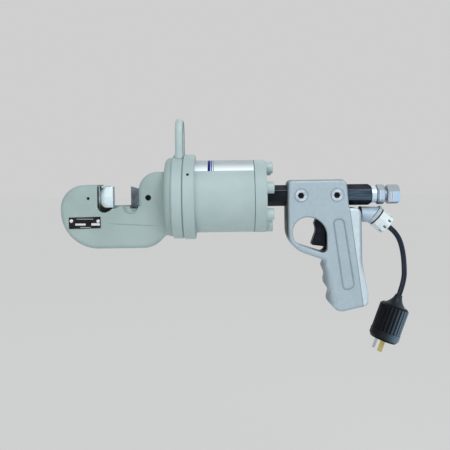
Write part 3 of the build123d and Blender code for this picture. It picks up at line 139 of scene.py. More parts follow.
# Finishes
class Finish:
    """A material, its shader, and short ways to add patterns that read the object's own coordinates."""

    def __init__(self, name, base, metallic, roughness, gloss=0.5):
        self.material = bpy.data.materials.new(name)
        self.material.use_nodes = True
        self.tree = self.material.node_tree
        self.shader = self.tree.nodes["Principled BSDF"]
        self.shader.inputs["Base Color"].default_value = base
        self.shader.inputs["Metallic"].default_value = metallic
        self.shader.inputs["Roughness"].default_value = roughness
        self.shader.inputs["Specular IOR Level"].default_value = gloss
        self.place = self.tree.nodes.new("ShaderNodeTexCoord").outputs["Object"]
        self.normal = None

    def link(self, source, target):
        self.tree.links.new(source, target)

    def moved(self, centre, turn=(0, 0, 0), size=(1, 1, 1)):
        """Object coordinates measured from a centre, turned and stretched."""
        mapping = self.tree.nodes.new("ShaderNodeMapping")
        mapping.vector_type = "TEXTURE"
        mapping.inputs["Location"].default_value = centre
        mapping.inputs["Rotation"].default_value = turn
        mapping.inputs["Scale"].default_value = size
        self.link(self.place, mapping.inputs["Vector"])
        return mapping.outputs["Vector"]

    def noise(self, scale, detail=2.0, rough=0.5, where=None):
        texture = self.tree.nodes.new("ShaderNodeTexNoise")
        texture.inputs["Scale"].default_value = scale
        texture.inputs["Detail"].default_value = detail
        texture.inputs["Roughness"].default_value = rough
        self.link(where or self.place, texture.inputs["Vector"])
        return texture.outputs["Fac"]

    def drawn_out(self, detail, size):
        """Noise with a grain of its own length along each axis."""
        return self.noise(1, detail, where=self.moved((0, 0, 0), size=size))

    def cells(self, scale):
        texture = self.tree.nodes.new("ShaderNodeTexVoronoi")
        texture.inputs["Scale"].default_value = scale
        self.link(self.place, texture.inputs["Vector"])
        return texture.outputs["Distance"]

    def spread(self, value, low, high, new_low, new_high):
        """Value from one range carried smoothly to another."""
        node = self.tree.nodes.new("ShaderNodeMapRange")
        node.interpolation_type = "SMOOTHSTEP"
        self.link(value, node.inputs["Value"])
        node.inputs["From Min"].default_value = low
        node.inputs["From Max"].default_value = high
        node.inputs["To Min"].default_value = new_low
        node.inputs["To Max"].default_value = new_high
        return node.outputs["Result"]

    def clouds(self, low, high, *pattern):
        """Noise carried to a range between two values."""
        return self.spread(self.noise(*pattern), 0.3, 0.7, low, high)

    def maths(self, operation, first, second=0):
        return tree_maths(self.tree, operation, first, second)

    def times(self, first, second):
        return self.maths("MULTIPLY", first, second)

    def radius(self, first, second):
        """Distance from an axis, of two coordinates across it."""
        return self.maths("SQRT", self.maths("ADD", self.times(first, first), self.times(second, second)))

    def axes(self, where=None):
        node = self.tree.nodes.new("ShaderNodeSeparateXYZ")
        self.link(where or self.place, node.inputs["Vector"])
        return node.outputs

    def leaning_axes(self, place, lean):
        """Coordinates along, beside and above a line that starts at a place of the shear and leans down."""
        return self.axes(self.moved(at(*place), (0, math.radians(lean), 0)))

    def band(self, value, low, high, soft):
        """1 between two values and 0 outside, with soft edges."""
        up = self.spread(value, low - soft, low + soft, 0, 1)
        down = self.spread(value, high - soft, high + soft, 1, 0)
        return self.times(up, down)

    def mix(self, share, first, second):
        """Colour between two, each a plain colour or another socket."""
        node = self.tree.nodes.new("ShaderNodeMix")
        node.data_type = "RGBA"
        self.link(share, node.inputs["Factor"])
        sockets = [socket for socket in node.inputs if socket.type == "RGBA"]
        for socket, value in zip(sockets, (first, second)):
            if isinstance(value, tuple):
                socket.default_value = value
            else:
                self.link(value, socket)
        return [socket for socket in node.outputs if socket.type == "RGBA"][0]

    def mottled(self, first, second, *pattern):
        """Colour that wanders between two."""
        return self.mix(self.clouds(0, 1, *pattern), first, second)

    def set_colour(self, value):
        self.link(value, self.shader.inputs["Base Color"])

    def vary_roughness(self, low, high, *pattern):
        self.link(self.clouds(low, high, *pattern), self.shader.inputs["Roughness"])

    def bump(self, height, strength, distance):
        """Relief on top of any relief that is already there."""
        node = self.tree.nodes.new("ShaderNodeBump")
        node.inputs["Strength"].default_value = strength
        node.inputs["Distance"].default_value = distance
        self.link(height, node.inputs["Height"])
        if self.normal:
            self.link(self.normal, node.inputs["Normal"])
        self.normal = node.outputs["Normal"]
        self.link(self.normal, self.shader.inputs["Normal"])


def enamel(name, dark, light):
    """Satin grey-green enamel on turned steel, darker in the joints before and behind the barrel."""
    finish = Finish(name, light, 0.0, 0.45)
    paint = finish.mottled(dark, light, 18, 3)
    x, _, _ = finish.axes()
    for start, end in (ring_joint, cap_joint):
        paint = finish.mix(finish.band(x, start / 1000, end / 1000, 0.0002), paint, colour(96, 110, 110))
    finish.set_colour(paint)
    finish.vary_roughness(0.40, 0.55, 60, 3)
    finish.bump(finish.noise(900, 2), 0.05, 0.0004)
    return finish.material


def cast_enamel(name, dark, light):
    """Enamel over a sand casting, with the crease that runs from under the throat to the head, and painted
    shade along that crease.
    """
    finish = Finish(name, light, 0.0, 0.5)
    crease_slope = 0.06
    crease_level = -0.1387
    x, _, z = finish.axes()
    fall = finish.maths("ADD", z, finish.times(x, crease_slope))
    along = finish.band(x, -0.092, -0.034, 0.010)
    # Darker line along the crease: painted shade of its step
    line = finish.times(along, finish.band(fall, crease_level - 0.0003, crease_level + 0.0004, 0.0005))
    paint = finish.mottled(dark, light, 22, 4)
    finish.set_colour(finish.mix(line, paint, colour(118, 136, 135)))
    finish.vary_roughness(0.45, 0.6, 60, 3)
    finish.bump(finish.noise(120, 4, 0.6), 0.12, 0.0012)
    step = finish.spread(fall, crease_level - 0.0008, crease_level + 0.0008, 0, 1)
    finish.bump(finish.times(along, step), 0.4, 0.0006)
    finish.bump(finish.noise(900, 2), 0.05, 0.0004)
    return finish.material


def ground_steel(name, light, dark, metallic, roughness, end_shade_from=None):
    """Ground steel with blotches and fine grinding lines along Z, and painted shade of its end face from a
    place along X on.
    """
    finish = Finish(name, light, metallic, roughness)
    steel = finish.mix(finish.spread(finish.noise(110, 4, 0.6), 0.36, 0.64, 0, 1), dark, light)
    if end_shade_from is not None:
        x, _, _ = finish.axes()
        painted_light_tone = finish.spread(x, end_shade_from - 0.0003, end_shade_from + 0.0003, 0, 1)
        # Grey from that place on: painted shade of the blade's end face
        steel = finish.mix(painted_light_tone, steel, colour(144, 155, 164))
    finish.set_colour(steel)
    finish.vary_roughness(roughness - 0.08, roughness + 0.1, 160, 3)
    lines = finish.drawn_out(2, (0.0004, 0.0004, 0.01))
    finish.bump(lines, 0.08, 0.0002)
    return finish.material


def seat_steel(name):
    """Backing block, near black as dark oiled steel and as painted shade of the pocket behind the blade,
    with a painted reflection as a pale streak between its edges, and pale near its top beside the blade.
    """
    # Near black: dark oiled steel, and painted shade of the pocket behind the blade
    oiled = colour(14, 17, 18)
    finish = Finish(name, oiled, 0.0, 0.45, 0.12)
    x, _, z = finish.axes()
    low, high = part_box("blade_seat")
    rise = high.z - low.z
    # Pale streak between the edges: painted reflection
    sheen_streak = finish.band(x, low.x + 0.0020, low.x + 0.0034, 0.0007)
    height = finish.spread(z, low.z + 0.2 * rise, low.z + 0.5 * rise, 0.15, 1)
    blotch = finish.clouds(0.5, 1, 140, 4, 0.6)
    wear_and_sheen = finish.times(finish.times(sheen_streak, height), blotch)
    steel = finish.mix(wear_and_sheen, oiled, colour(186, 202, 205))
    # Pale near the top beside the blade
    top = finish.spread(z, high.z - 0.0045, high.z - 0.0030, 0, 1)
    beside_blade = finish.spread(x, low.x + 0.0050, low.x + 0.0070, 0, 1)
    pale_top = finish.times(top, beside_blade)
    finish.set_colour(finish.mix(pale_top, steel, colour(200, 214, 218)))
    finish.vary_roughness(0.4, 0.55, 160, 3)
    finish.bump(finish.noise(500, 3), 0.08, 0.0002)
    return finish.material


def black_oxide(name):
    """Black hexagon bar with drawn lines along X, a painted bluish sheen on its front flat behind the grip,
    and a painted highlight along one edge.
    """
    finish = Finish(name, colour(24, 29, 37), 0.0, 0.45, 0.12)
    x, _, z = finish.axes()
    cloud = finish.spread(finish.noise(45, 4, 0.6), 0.4, 0.75, 0, 1)
    bar = finish.mix(cloud, colour(20, 25, 33), colour(31, 37, 46))
    flat = finish.band(z, level(-bar_half_flat), level(bar_half_flat), 0.0006)
    # Painted bluish sheen on the front flat behind the grip, streaked along X
    painted_sheen = finish.times(flat, finish.spread(x, 0.15, 0.23, 0, 1))
    sheen_streak = finish.drawn_out(3, (0.03, 0.0012, 0.0012))
    wear_and_sheen = finish.mix(finish.spread(sheen_streak, 0.35, 0.65, 0, 1), colour(46, 60, 74), colour(76, 94, 109))
    # Painted highlight along the front flat's upper edge
    edge = finish.band(z, level(bar_half_flat - 0.3), level(bar_half_flat + 0.3), 0.0002)
    bar = finish.mix(edge, bar, colour(104, 112, 126))
    finish.set_colour(finish.mix(painted_sheen, bar, wear_and_sheen))
    finish.vary_roughness(0.38, 0.55, 80, 3)
    lines = finish.drawn_out(2, (0.02, 0.0006, 0.0006))
    finish.bump(lines, 0.10, 0.0002)
    return finish.material


def black_screw(name):
    """Oil-blackened set screw, down in its hole."""
    finish = Finish(name, colour(14, 15, 17), 0.0, 0.5, 0.2)
    finish.set_colour(finish.mottled(colour(10, 11, 13), colour(24, 26, 29), 300, 3))
    finish.vary_roughness(0.4, 0.6, 400, 2)
    finish.bump(finish.noise(900, 2), 0.1, 0.0002)
    return finish.material


def plated(name, light, dark, metallic, roughness):
    """Zinc or nickel plating with faint clouds and turning marks round X."""
    finish = Finish(name, light, metallic, roughness)
    finish.set_colour(finish.mottled(dark, light, 40, 2))
    finish.vary_roughness(roughness - 0.03, roughness + 0.03, 60, 2)
    marks = finish.drawn_out(2, (0.0004, 0.02, 0.02))
    finish.bump(marks, 0.008, 0.0001)
    return finish.material


def hose_zinc(name, front, ridge, roots, recess_shade, glints):
    """Zinc plating of the hose fitting, with painted light and shade: greyer above its front facet, darker
    below it and in the chamfer roots, painted glints on the front facet, and paler on its collar.
    """
    finish = Finish(name, colour(204, 222, 236), 0.4, 0.34)
    x, _, z = finish.axes()
    zinc = finish.mottled(*front, 60, 3)
    rings = finish.drawn_out(1, (0.0011, 0.05, 0.05))
    # Glints: bands of painted reflection on the front facet
    glint = finish.mix(finish.spread(rings, 0.4, 0.6, 0, 1), colour(150, 162, 182), colour(244, 250, 255))
    facet = finish.band(z, level(-9), level(ridge), 0.0008)
    for start, end in glints:
        zinc = finish.mix(finish.times(facet, finish.band(x, start, end, 0.0006)), zinc, glint)
    # Painted shade: greyer above the front facet, darker below it
    above = finish.spread(z, level(ridge - 0.4), level(ridge + 0.4), 0, 1)
    below = finish.spread(z, level(-11.5), level(-9.5), 1, 0)
    zinc = finish.mix(above, zinc, colour(168, 180, 186))
    zinc = finish.mix(below, zinc, colour(112, 120, 128))
    # Painted shade in the chamfer roots
    for start, end in roots:
        zinc = finish.mix(finish.band(x, start, end, 0.0004), zinc, recess_shade)
    # Paler on the collar
    collar = finish.spread(x, (hose_collar_end - 0.3) / 1000, (hose_collar_end + 0.3) / 1000, 1, 0)
    finish.set_colour(finish.mix(collar, zinc, colour(208, 232, 245)))
    finish.vary_roughness(0.3, 0.38, 60, 2)
    marks = finish.drawn_out(2, (0.0004, 0.02, 0.02))
    finish.bump(marks, 0.008, 0.0001)
    return finish.material


def shoulder_zinc(name):
    """Plating of the connector's shoulder, with painted shade in the corner towards the bend."""
    finish = Finish(name, colour(180, 194, 199), 0.3, 0.4)
    along, _, _ = finish.leaning_axes(connector_face, connector_bend)
    zinc = finish.mottled(colour(172, 187, 191), colour(198, 211, 215), 120, 3)
    # Painted shade in the corner towards the bend
    corner = finish.spread(along, -0.0051, -0.0044, 1, 0)
    finish.set_colour(finish.mix(corner, zinc, colour(92, 102, 107)))
    finish.vary_roughness(0.34, 0.46, 160, 2)
    finish.bump(finish.noise(700, 2), 0.05, 0.0002)
    return finish.material


def gland_zinc(name):
    """Plating of the gland nut, with painted shade in its spanner notches."""
    light = colour(242, 254, 255)
    finish = Finish(name, light, 0.5, 0.3)
    along, side, up = finish.leaning_axes(connector_face, connector_bend)
    zinc = finish.mottled(colour(226, 240, 246), light, 90, 3)
    # Painted shade down in the spanner notches
    deep = finish.spread(finish.radius(side, up), 0.0126, 0.0134, 1, 0)
    before_end = finish.spread(along, 0.0186, 0.0189, 1, 0)
    recess_shade = finish.times(deep, before_end)
    finish.set_colour(finish.mix(recess_shade, zinc, colour(122, 135, 142)))
    finish.vary_roughness(0.27, 0.33, 60, 2)
    finish.bump(finish.noise(700, 2), 0.04, 0.0002)
    return finish.material


def clamp_zinc(name):
    """Plating of the clamp screws, with painted shade in their sockets."""
    light = colour(206, 218, 232)
    finish = Finish(name, light, 0.0, 0.35, 0.2)
    _, y, _ = finish.axes()
    mouth = -(grip_half_width + 0.4) / 1000
    # Painted shade: near black down in the sockets
    shaded_inside = finish.spread(y, mouth, mouth + 0.0005, 0, 1)
    cloud = finish.spread(finish.noise(140, 3), 0.35, 0.65, 0, 1)
    zinc = finish.mix(cloud, colour(174, 186, 201), light)
    finish.set_colour(finish.mix(shaded_inside, zinc, colour(6, 7, 8)))
    finish.vary_roughness(0.28, 0.42, 220, 3)
    finish.bump(finish.noise(700, 2), 0.05, 0.0002)
    return finish.material


def finger_hole_shade(finish, cast):
    """Painted shade in the finger hole: its roof, and its rear wall with the trigger's slot."""
    x, y, z = finish.axes()
    shaded_inside = finish.spread(finish.maths("ABSOLUTE", y), 0.0160, 0.0196, 1, 0)
    rear = finish.spread(x, (grip_front + 43) / 1000, (grip_front + 48) / 1000, 0, 1)
    roof = finish.spread(z, level(-46), level(-38), 0, 1)
    along = finish.band(x, (grip_front + 8) / 1000, (grip_front + 60) / 1000, 0.002)
    height = finish.band(z, level(-81), level(-27), 0.002)
    hole = finish.times(along, height)
    wall = finish.times(finish.maths("MAXIMUM", rear, roof), hole)
    # Painted shade on the hole's roof and rear wall
    return finish.mix(finish.times(shaded_inside, wall), cast, colour(26, 30, 33))


def grip_shade(finish, cast):
    """Painted shade on the grip: its front edge, finger side and finger hole; and darker along its top edge.
    """
    x, _, z = finish.axes()
    # Painted shade on the front edge
    front = finish.spread(x, (grip_front + 0.5) / 1000, (grip_front + 5.6) / 1000, 1, 0)
    cast = finish.mix(front, cast, colour(54, 64, 61))
    grip_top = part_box("grip_casting")[1].z
    # Darker along the top edge
    top = finish.spread(z, grip_top - 0.0030, grip_top - 0.0008, 0, 0.6)
    cast = finish.mix(top, cast, colour(118, 130, 124))
    # Painted shade on the finger side
    crest = finish.maths("ADD", x, finish.times(z, groove_slope))
    edge = groove_top[0] / 1000 + groove_slope * level(groove_top[1])
    finger_side_shade = finish.spread(crest, edge + 0.0005, edge + 0.0085, 0.55, 0)
    below = finish.spread(z, level(groove_top[1] + 2), level(groove_top[1] - 6), 0, 1)
    cast = finish.mix(finish.times(finger_side_shade, below), cast, colour(100, 111, 110))
    return finger_hole_shade(finish, cast)


def cover_shade(finish, cast):
    """Painted shadow on the cover's top, under the bar, and painted shade along its back edge."""
    x, _, z = finish.axes()
    below = finish.maths("SUBTRACT", level(cover_bend[1]), z)
    lean = finish.times(finish.maths("MAXIMUM", below, 0), cover_slope)
    back = finish.maths("SUBTRACT", x, lean)
    edge = cover_bend[0] / 1000
    # Painted shade along the back edge
    behind = finish.spread(back, edge - 0.0060, edge - 0.0010, 0, 0.8)
    above = finish.spread(z, level(-122), level(-80), 0.1, 1)
    cast = finish.mix(finish.times(behind, above), cast, colour(122, 138, 146))
    cover_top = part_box("grip_cover")[1].z
    # Painted shadow on the top face, under the bar
    top = finish.spread(z, cover_top - 0.0016, cover_top - 0.0006, 0, 0.95)
    return finish.mix(top, cast, colour(26, 30, 32))


def connector_light_and_shade(finish, cast):
    """Painted shadow along the connector's top, under the bar, and a painted bluer reflection on its
    underside.
    """
    _, _, z = finish.axes()
    _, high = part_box("cord_connector")
    top = finish.spread(z, high.z - 0.0018, high.z - 0.0007, 0, 0.85)
    # Painted bluer reflection on the underside
    bluish_tone = finish.spread(z, high.z - 0.0200, high.z - 0.0120, 0.6, 0)
    cast = finish.mix(bluish_tone, cast, colour(190, 211, 238))
    # Painted shadow along the top, under the bar
    return finish.mix(top, cast, colour(62, 71, 78))


def tumbled_casting(name, light, dark, metallic, grain, painted_light=None):
    """Tumbled aluminium casting: mottled, pitted, with a parting line, a dirty joint to the cover, and any
    painted light and shade it is given.
    """
    finish = Finish(name, light, metallic, 0.55)
    mottle = finish.clouds(0, 0.6, grain, 5, 0.6)
    stain = finish.clouds(0, 0.4, 26, 3, 0.6)
    x, y, z = finish.axes()
    cast = finish.mix(finish.maths("ADD", mottle, stain), dark, light)
    joint = finish.maths("ADD", x, finish.times(z, cover_joint_slope))
    start = cover_joint_top[0] / 1000 + cover_joint_slope * level(cover_joint_top[1])
    seam = finish.band(joint, start - 0.0003, start + 0.0005, 0.0003)
    # Painted light and shade of the grip, cover or connector, where given
    if painted_light:
        cast = painted_light(finish, cast)
    finish.set_colour(finish.mix(seam, cast, colour(134, 152, 163)))
    finish.vary_roughness(0.48, 0.68, 70, 3)
    finish.bump(finish.band(y, -0.0003, 0.0003, 0.0003), 0.5, 0.0003)
    finish.bump(finish.noise(grain * 3, 3, 0.6), 0.12, 0.0004)
    pits = finish.spread(finish.cells(520), 0.0, 0.22, 0, 1)
    finish.bump(pits, 0.10, 0.0003)
    return finish.material


def moulded(name, base, wear_and_sheen, roughness, grain, gloss=0.14):
    """Moulded plastic or rubber with a fine grain and paler patches worn by rubbing."""
    finish = Finish(name, base, 0.0, roughness, gloss)
    rubs_and_sheen = finish.spread(finish.noise(60, 4, 0.6), 0.45, 0.75, 0, 1)
    finish.set_colour(finish.mix(rubs_and_sheen, base, wear_and_sheen))
    finish.vary_roughness(roughness - 0.06, roughness + 0.1, 90, 3)
    finish.bump(finish.noise(grain, 3, 0.6), 0.15, 0.0003)
    return finish.material


def trigger_plastic(name):
    """Black trigger moulding, with a painted bluish highlight on its two sides, darker at its edges."""
    finish = Finish(name, colour(12, 15, 22), 0.0, 0.4, 0.12)
    _, y, _ = finish.axes()
    half_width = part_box("trigger")[1].y
    # Painted bluish highlight on the two sides
    side = finish.spread(finish.maths("ABSOLUTE", y), half_width - 0.0010, half_width - 0.0001, 0, 1)
    painted_sheen = finish.times(side, finish.clouds(0.4, 1, 90, 4, 0.6))
    finish.set_colour(finish.mix(painted_sheen, colour(6, 7, 10), colour(34, 37, 50)))
    finish.vary_roughness(0.34, 0.5, 90, 3)
    finish.bump(finish.noise(900, 3, 0.6), 0.15, 0.0003)
    return finish.material


def plug_plastic(name, bluish_tone, painted_light_tone, fluted):
    """Black plug moulding, with a painted bluish sheen on its ridges towards one side and painted shade in
    its flutes.
    """
    finish = Finish(name, bluish_tone, 0.0, 0.36, 0.14)
    across, y, _ = finish.leaning_axes(plug_face, plug_lean)
    # Painted bluish sheen, growing towards one side
    side = finish.maths("POWER", finish.spread(across, -0.012, 0.020, 0, 1), 1.5)
    rubs_and_sheen = finish.clouds(0.85, 1, 60, 4, 0.6)
    painted_sheen = finish.mix(finish.times(side, rubs_and_sheen), bluish_tone, painted_light_tone)
    if fluted:
        # Painted shade in the flutes
        flute = finish.spread(finish.radius(across, y), 0.0190, 0.0202, 1, 0)
        painted_sheen = finish.mix(flute, painted_sheen, finish.mix(side, colour(5, 7, 10), colour(19, 26, 34)))
    finish.set_colour(painted_sheen)
    finish.vary_roughness(0.3, 0.46, 90, 3)
    finish.bump(finish.noise(800, 3, 0.6), 0.15, 0.0003)
    return finish.material


def printed_label(name):
    """White film with three blue stripes and nothing printed on the rest: a grey panel above stands for the
    left-off print, and the pale lower part is partly a painted highlight.
    """
    finish = Finish(name, colour(222, 234, 240), 0.0, 0.5, 0.06)
    x, _, z = finish.axes()
    panel = finish.mottled(colour(170, 179, 185), colour(176, 185, 191), 40, 2)
    # Pale lower part: partly a painted highlight; grey panel above for the left-off print
    foot = finish.spread(z, level(35.4), level(46.6), 1, 0)
    film = finish.mix(foot, panel, colour(246, 254, 255))
    stripes = (
        (0.0391, 0.0427, colour(12, 26, 112)),
        (0.0434, 0.0449, colour(60, 80, 140)),
        (0.0462, 0.0475, colour(134, 156, 184)),
    )
    for start, end, ink in stripes:
        film = finish.mix(finish.band(x, start, end, 0.0001), film, ink)
    finish.set_colour(film)
    finish.vary_roughness(0.4, 0.5, 150, 2)
    finish.bump(finish.noise(700, 2), 0.04, 0.0002)
    return finish.material


def blank_plate(name):
    """Black printed plate with empty white fields."""
    finish = Finish(name, colour(14, 15, 17), 0.0, 0.4, 0.12)
    x, _, z = finish.leaning_axes((plate_centre, -jaw_half_width, plate_level), plate_tilt)
    white = None
    for left, right, low, high in (
        (-12.8, 1.2, -3.5, -0.9),
        (9.0, 20.6, -3.5, -0.4),
        (-11.0, 11.5, 4.9, 5.4),
        (-6.0, 8.0, -6.3, -5.8),
    ):
        across = finish.band(x, left / 1000, right / 1000, 0.0001)
        up = finish.band(z, low / 1000, high / 1000, 0.0001)
        field = finish.times(across, up)
        white = finish.maths("MAXIMUM", white, field) if white else field
    black = finish.mottled(colour(10, 11, 13), colour(20, 21, 24), 140, 3)
    finish.set_colour(finish.mix(white, black, colour(214, 218, 220)))
    finish.vary_roughness(0.28, 0.45, 200, 2)
    finish.bump(white, 0.2, 0.0001)
    return finish.material


def make_finishes():
    """Each finish by the name of the record's slot, or a name of its own where a slot has two looks."""
    # Where the painted shade of the fixed blade's end face begins
    blade_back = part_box("fixed_blade")[1].x - 0.0006
    return {
        "paint": enamel("turned_enamel", colour(168, 187, 187), colour(177, 195, 195)),
        # Lighter copy of the same enamel: painted light on the bail on top
        "bail_paint": enamel("bail_enamel", colour(174, 192, 192), colour(182, 200, 200)),
        "cast_paint": cast_enamel("cast_enamel", colour(152, 172, 170), colour(162, 181, 179)),
        "bright_steel": ground_steel(
            "ground_blade", colour(240, 255, 255), colour(220, 244, 255), 0.0, 0.4, blade_back
        ),
        "dark_steel": ground_steel("oiled_steel", colour(104, 114, 123), colour(76, 85, 94), 0.6, 0.45),
        "seat_steel": seat_steel("seat_steel"),
        "black_screw": black_screw("black_screw"),
        "black_bar": black_oxide("black_oxide_bar"),
        "zinc": plated("zinc_plate", colour(204, 224, 238), colour(194, 214, 229), 0.75, 0.28),
        "adapter_zinc": hose_zinc(
            "adapter_zinc",
            front=(colour(178, 202, 225), colour(190, 214, 236)),
            ridge=6.4,
            roots=((0.2727, 0.2742), (0.2832, 0.2842)),
            recess_shade=colour(104, 114, 118),
            glints=((0.2742, 0.2772),),
        ),
        "nut_zinc": hose_zinc(
            "nut_zinc",
            front=(colour(188, 220, 250), colour(202, 232, 255)),
            ridge=3.8,
            roots=((0.2870, 0.2882),),
            recess_shade=colour(150, 160, 166),
            glints=((0.2884, 0.2944),),
        ),
        "clamp_zinc": clamp_zinc("clamp_zinc"),
        "steel": plated("turned_steel", colour(178, 180, 183), colour(152, 155, 160), 0.95, 0.35),
        "plate": blank_plate("blank_plate"),
        "rivet": plated("rivet_aluminium", colour(232, 236, 238), colour(206, 212, 216), 0.6, 0.35),
        "label": printed_label("label_film"),
        "grip_cast": tumbled_casting(
            "grip_casting", colour(176, 193, 203), colour(165, 182, 191), 0.2, 210, grip_shade
        ),
        # Darker copy of the grip casting: painted shade on the raised border
        "shaded_border_cast": tumbled_casting(
            "shaded_border_casting", colour(152, 169, 179), colour(138, 155, 165), 0.2, 210
        ),
        "cover_cast": tumbled_casting(
            "cover_casting", colour(210, 226, 235), colour(197, 213, 222), 0.2, 160, cover_shade
        ),
        "connector_cast": tumbled_casting(
            "die_casting", colour(180, 200, 215), colour(167, 187, 202), 0.35, 200, connector_light_and_shade
        ),
        "shoulder": shoulder_zinc("shoulder_zinc"),
        "gland": gland_zinc("gland_zinc"),
        "black_plastic": moulded("black_plastic", colour(14, 18, 25), colour(24, 29, 37), 0.36, 800),
        # The second colour of each plug finish is its painted sheen
        "plug_rubber": plug_plastic("plug_rubber", colour(22, 28, 35), colour(84, 102, 112), False),
        "plug_plastic": plug_plastic("plug_plastic", colour(16, 20, 27), colour(110, 134, 152), True),
        "trigger_plastic": trigger_plastic("trigger_plastic"),
        "black_rubber": moulded("cord_rubber", colour(16, 32, 48), colour(28, 48, 66), 0.24, 1200, 0.28),
        "seal_rubber": moulded("seal_rubber", colour(34, 35, 37), colour(48, 49, 52), 0.6, 900),
        "bronze": plated("bearing_bronze", colour(196, 160, 104), colour(168, 134, 84), 0.95, 0.35),
        "brass": plated("stamped_brass", colour(208, 198, 128), colour(184, 173, 104), 0.6, 0.35),
        "nickel": plated("nickel_blade", colour(216, 218, 216), colour(190, 194, 194), 0.95, 0.25),
    }


def dress_nodes(finishes):
    """Gives every CAD node the finish of its slot, or the closer one that it needs."""
    closer = {
        "jaw_frame": "cast_paint",
        "suspension_bail": "bail_paint",
        "blade_seat": "seat_steel",
        "blade_set_screw": "black_screw",
        "ram_guide_screw": "black_screw",
        "lock_ring_screw": "black_screw",
        "hose_adapter": "adapter_zinc",
        "swivel_nut": "nut_zinc",
        "gland_nut": "gland",
        "trigger": "trigger_plastic",
        "plug_clamp": "plug_rubber",
        "plug_shell": "plug_plastic",
        "plug_face": "plug_plastic",
    }
    for row in frame["record"]["subparts"]:
        node = nodes[row["node"]]
        node.data.materials.clear()
        node.data.materials.append(finishes[closer.get(row["node"], row["material_slot"])])


# Supply cord
def supply_cord(finishes):
    """Short control cord, from the gland's grommet to the plug."""
    route = (
        (288.868, -43.901),
        (294.905, -49.150),
        (300.1, -54.6),
        (305.8, -63.8),
        (309.8, -78.8),
        (311.7, -98.2),
        (311.5, -121.6),
        (303.974, -141.205),
    )
    line = bpy.data.curves.new("supply_cord_line", "CURVE")
    line.dimensions = "3D"
    line.bevel_depth = cord_radius / 1000
    line.bevel_resolution = 8
    line.resolution_u = 16
    line.use_fill_caps = True
    spline = line.splines.new("NURBS")
    spline.points.add(len(route) - 1)
    places = [at(x, 0, z) for x, z in route]
    for point, place in zip(spline.points, places):
        point.co = (*place, 1)
    spline.order_u = 3
    spline.use_endpoint_u = True
    line.materials.append(finishes["black_rubber"])
    cord = bpy.data.objects.new("supply_cord_run", line)
    scene.collection.objects.link(cord)
    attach(cord, "tool_body")
    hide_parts("supply_cord")


# Turned base shapes, in millimetres along X
def turned_base(name, loops, sides=48):
    """Closed mesh turned about X from loops of (x, radius) or (x, flats, "hexagon")."""
    shape = bmesh.new()
    rings = []
    for loop in loops:
        x, size = loop[0] / 1000, loop[1] / 1000
        if size == 0:
            rings.append([shape.verts.new((x, 0, 0))])
            continue
        ring = []
        for side in range(sides):
            angle = 2 * math.pi * side / sides
            radius = size
            if len(loop) == 3:
                sector = (angle % (math.pi / 3)) - math.pi / 6
                radius = size / 2 / math.cos(sector)
            ring.append(shape.verts.new((x, radius * math.cos(angle), radius * math.sin(angle))))
        rings.append(ring)
    for first, second in zip(rings, rings[1:]):
        for side in range(sides):
            after = (side + 1) % sides
            corners = []
            corners += [first[0]] if len(first) == 1 else [first[side], first[after]]
            corners += [second[0]] if len(second) == 1 else [second[after], second[side]]
            shape.faces.new(corners)
    bmesh.ops.recalc_face_normals(shape, faces=shape.faces)
    for face in shape.faces:
        face.smooth = True
    mesh = bpy.data.meshes.new(name)
    shape.to_mesh(mesh)
    shape.free()
    mesh.set_sharp_from_angle(angle=math.radians(40))
    return mesh


def socket_screw(name, shank, length, head, top, flats, depth, edge):
    """Screw along X, its head's seat at the origin and its hexagon socket in the head's top."""
    return turned_base(
        name,
        (
            (-length, 0),
            (-length, shank),
            (0, shank),
            (0, head),
            (top - edge, head),
            (top - edge * 0.3, head - edge * 0.3),
            (top, head - edge),
            (top, flats * 0.62),
            (top - 0.4, flats, "hexagon"),
            (top - depth, flats, "hexagon"),
            (top - depth - flats * 0.2, 0),
        ),
    )


# Geometry Nodes
def start_tree(name, inputs):
    """Tree with a geometry and other named inputs; returns it with what it is given and its outlet."""
    tree = bpy.data.node_groups.new(name, "GeometryNodeTree")
    tree.interface.new_socket("Geometry", in_out="INPUT", socket_type="NodeSocketGeometry")
    for label, kind in inputs:
        tree.interface.new_socket(label, in_out="INPUT", socket_type=kind)
    tree.interface.new_socket("Geometry", in_out="OUTPUT", socket_type="NodeSocketGeometry")
    outlet = tree.nodes.new("NodeGroupOutput").inputs["Geometry"]
    return tree, tree.nodes.new("NodeGroupInput").outputs, outlet


def end_tree(tree, given, outlet, instances):
    """Makes the instances real, gives them their material and hands back the finished tree."""
    real = tree.nodes.new("GeometryNodeRealizeInstances")
    paint = tree.nodes.new("GeometryNodeSetMaterial")
    tree.links.new(instances, real.inputs["Geometry"])
    tree.links.new(real.outputs["Geometry"], paint.inputs["Geometry"])
    tree.links.new(given["Material"], paint.inputs["Material"])
    tree.links.new(paint.outputs["Geometry"], outlet)
    return tree


def copies(tree, points, piece, turn):
    """A copy of a piece at each point."""
    node = tree.nodes.new("GeometryNodeInstanceOnPoints")
    tree.links.new(points, node.inputs["Points"])
    tree.links.new(piece, node.inputs["Instance"])
    tree.links.new(turn, node.inputs["Rotation"])
    return node.outputs["Instances"]


def smoothed(tree, mesh):
    node = tree.nodes.new("GeometryNodeSetShadeSmooth")
    tree.links.new(mesh, node.inputs["Geometry"])
    return node.outputs["Geometry"]


def round_bar(tree, line, radius):
    """Round bar with closed ends along a line."""
    section = tree.nodes.new("GeometryNodeCurvePrimitiveCircle")
    section.inputs["Resolution"].default_value = 12
    tree.links.new(radius, section.inputs["Radius"])
    bar = tree.nodes.new("GeometryNodeCurveToMesh")
    bar.inputs["Fill Caps"].default_value = True
    tree.links.new(line, bar.inputs["Curve"])
    tree.links.new(section.outputs["Curve"], bar.inputs["Profile Curve"])
    return smoothed(tree, bar.outputs["Mesh"])


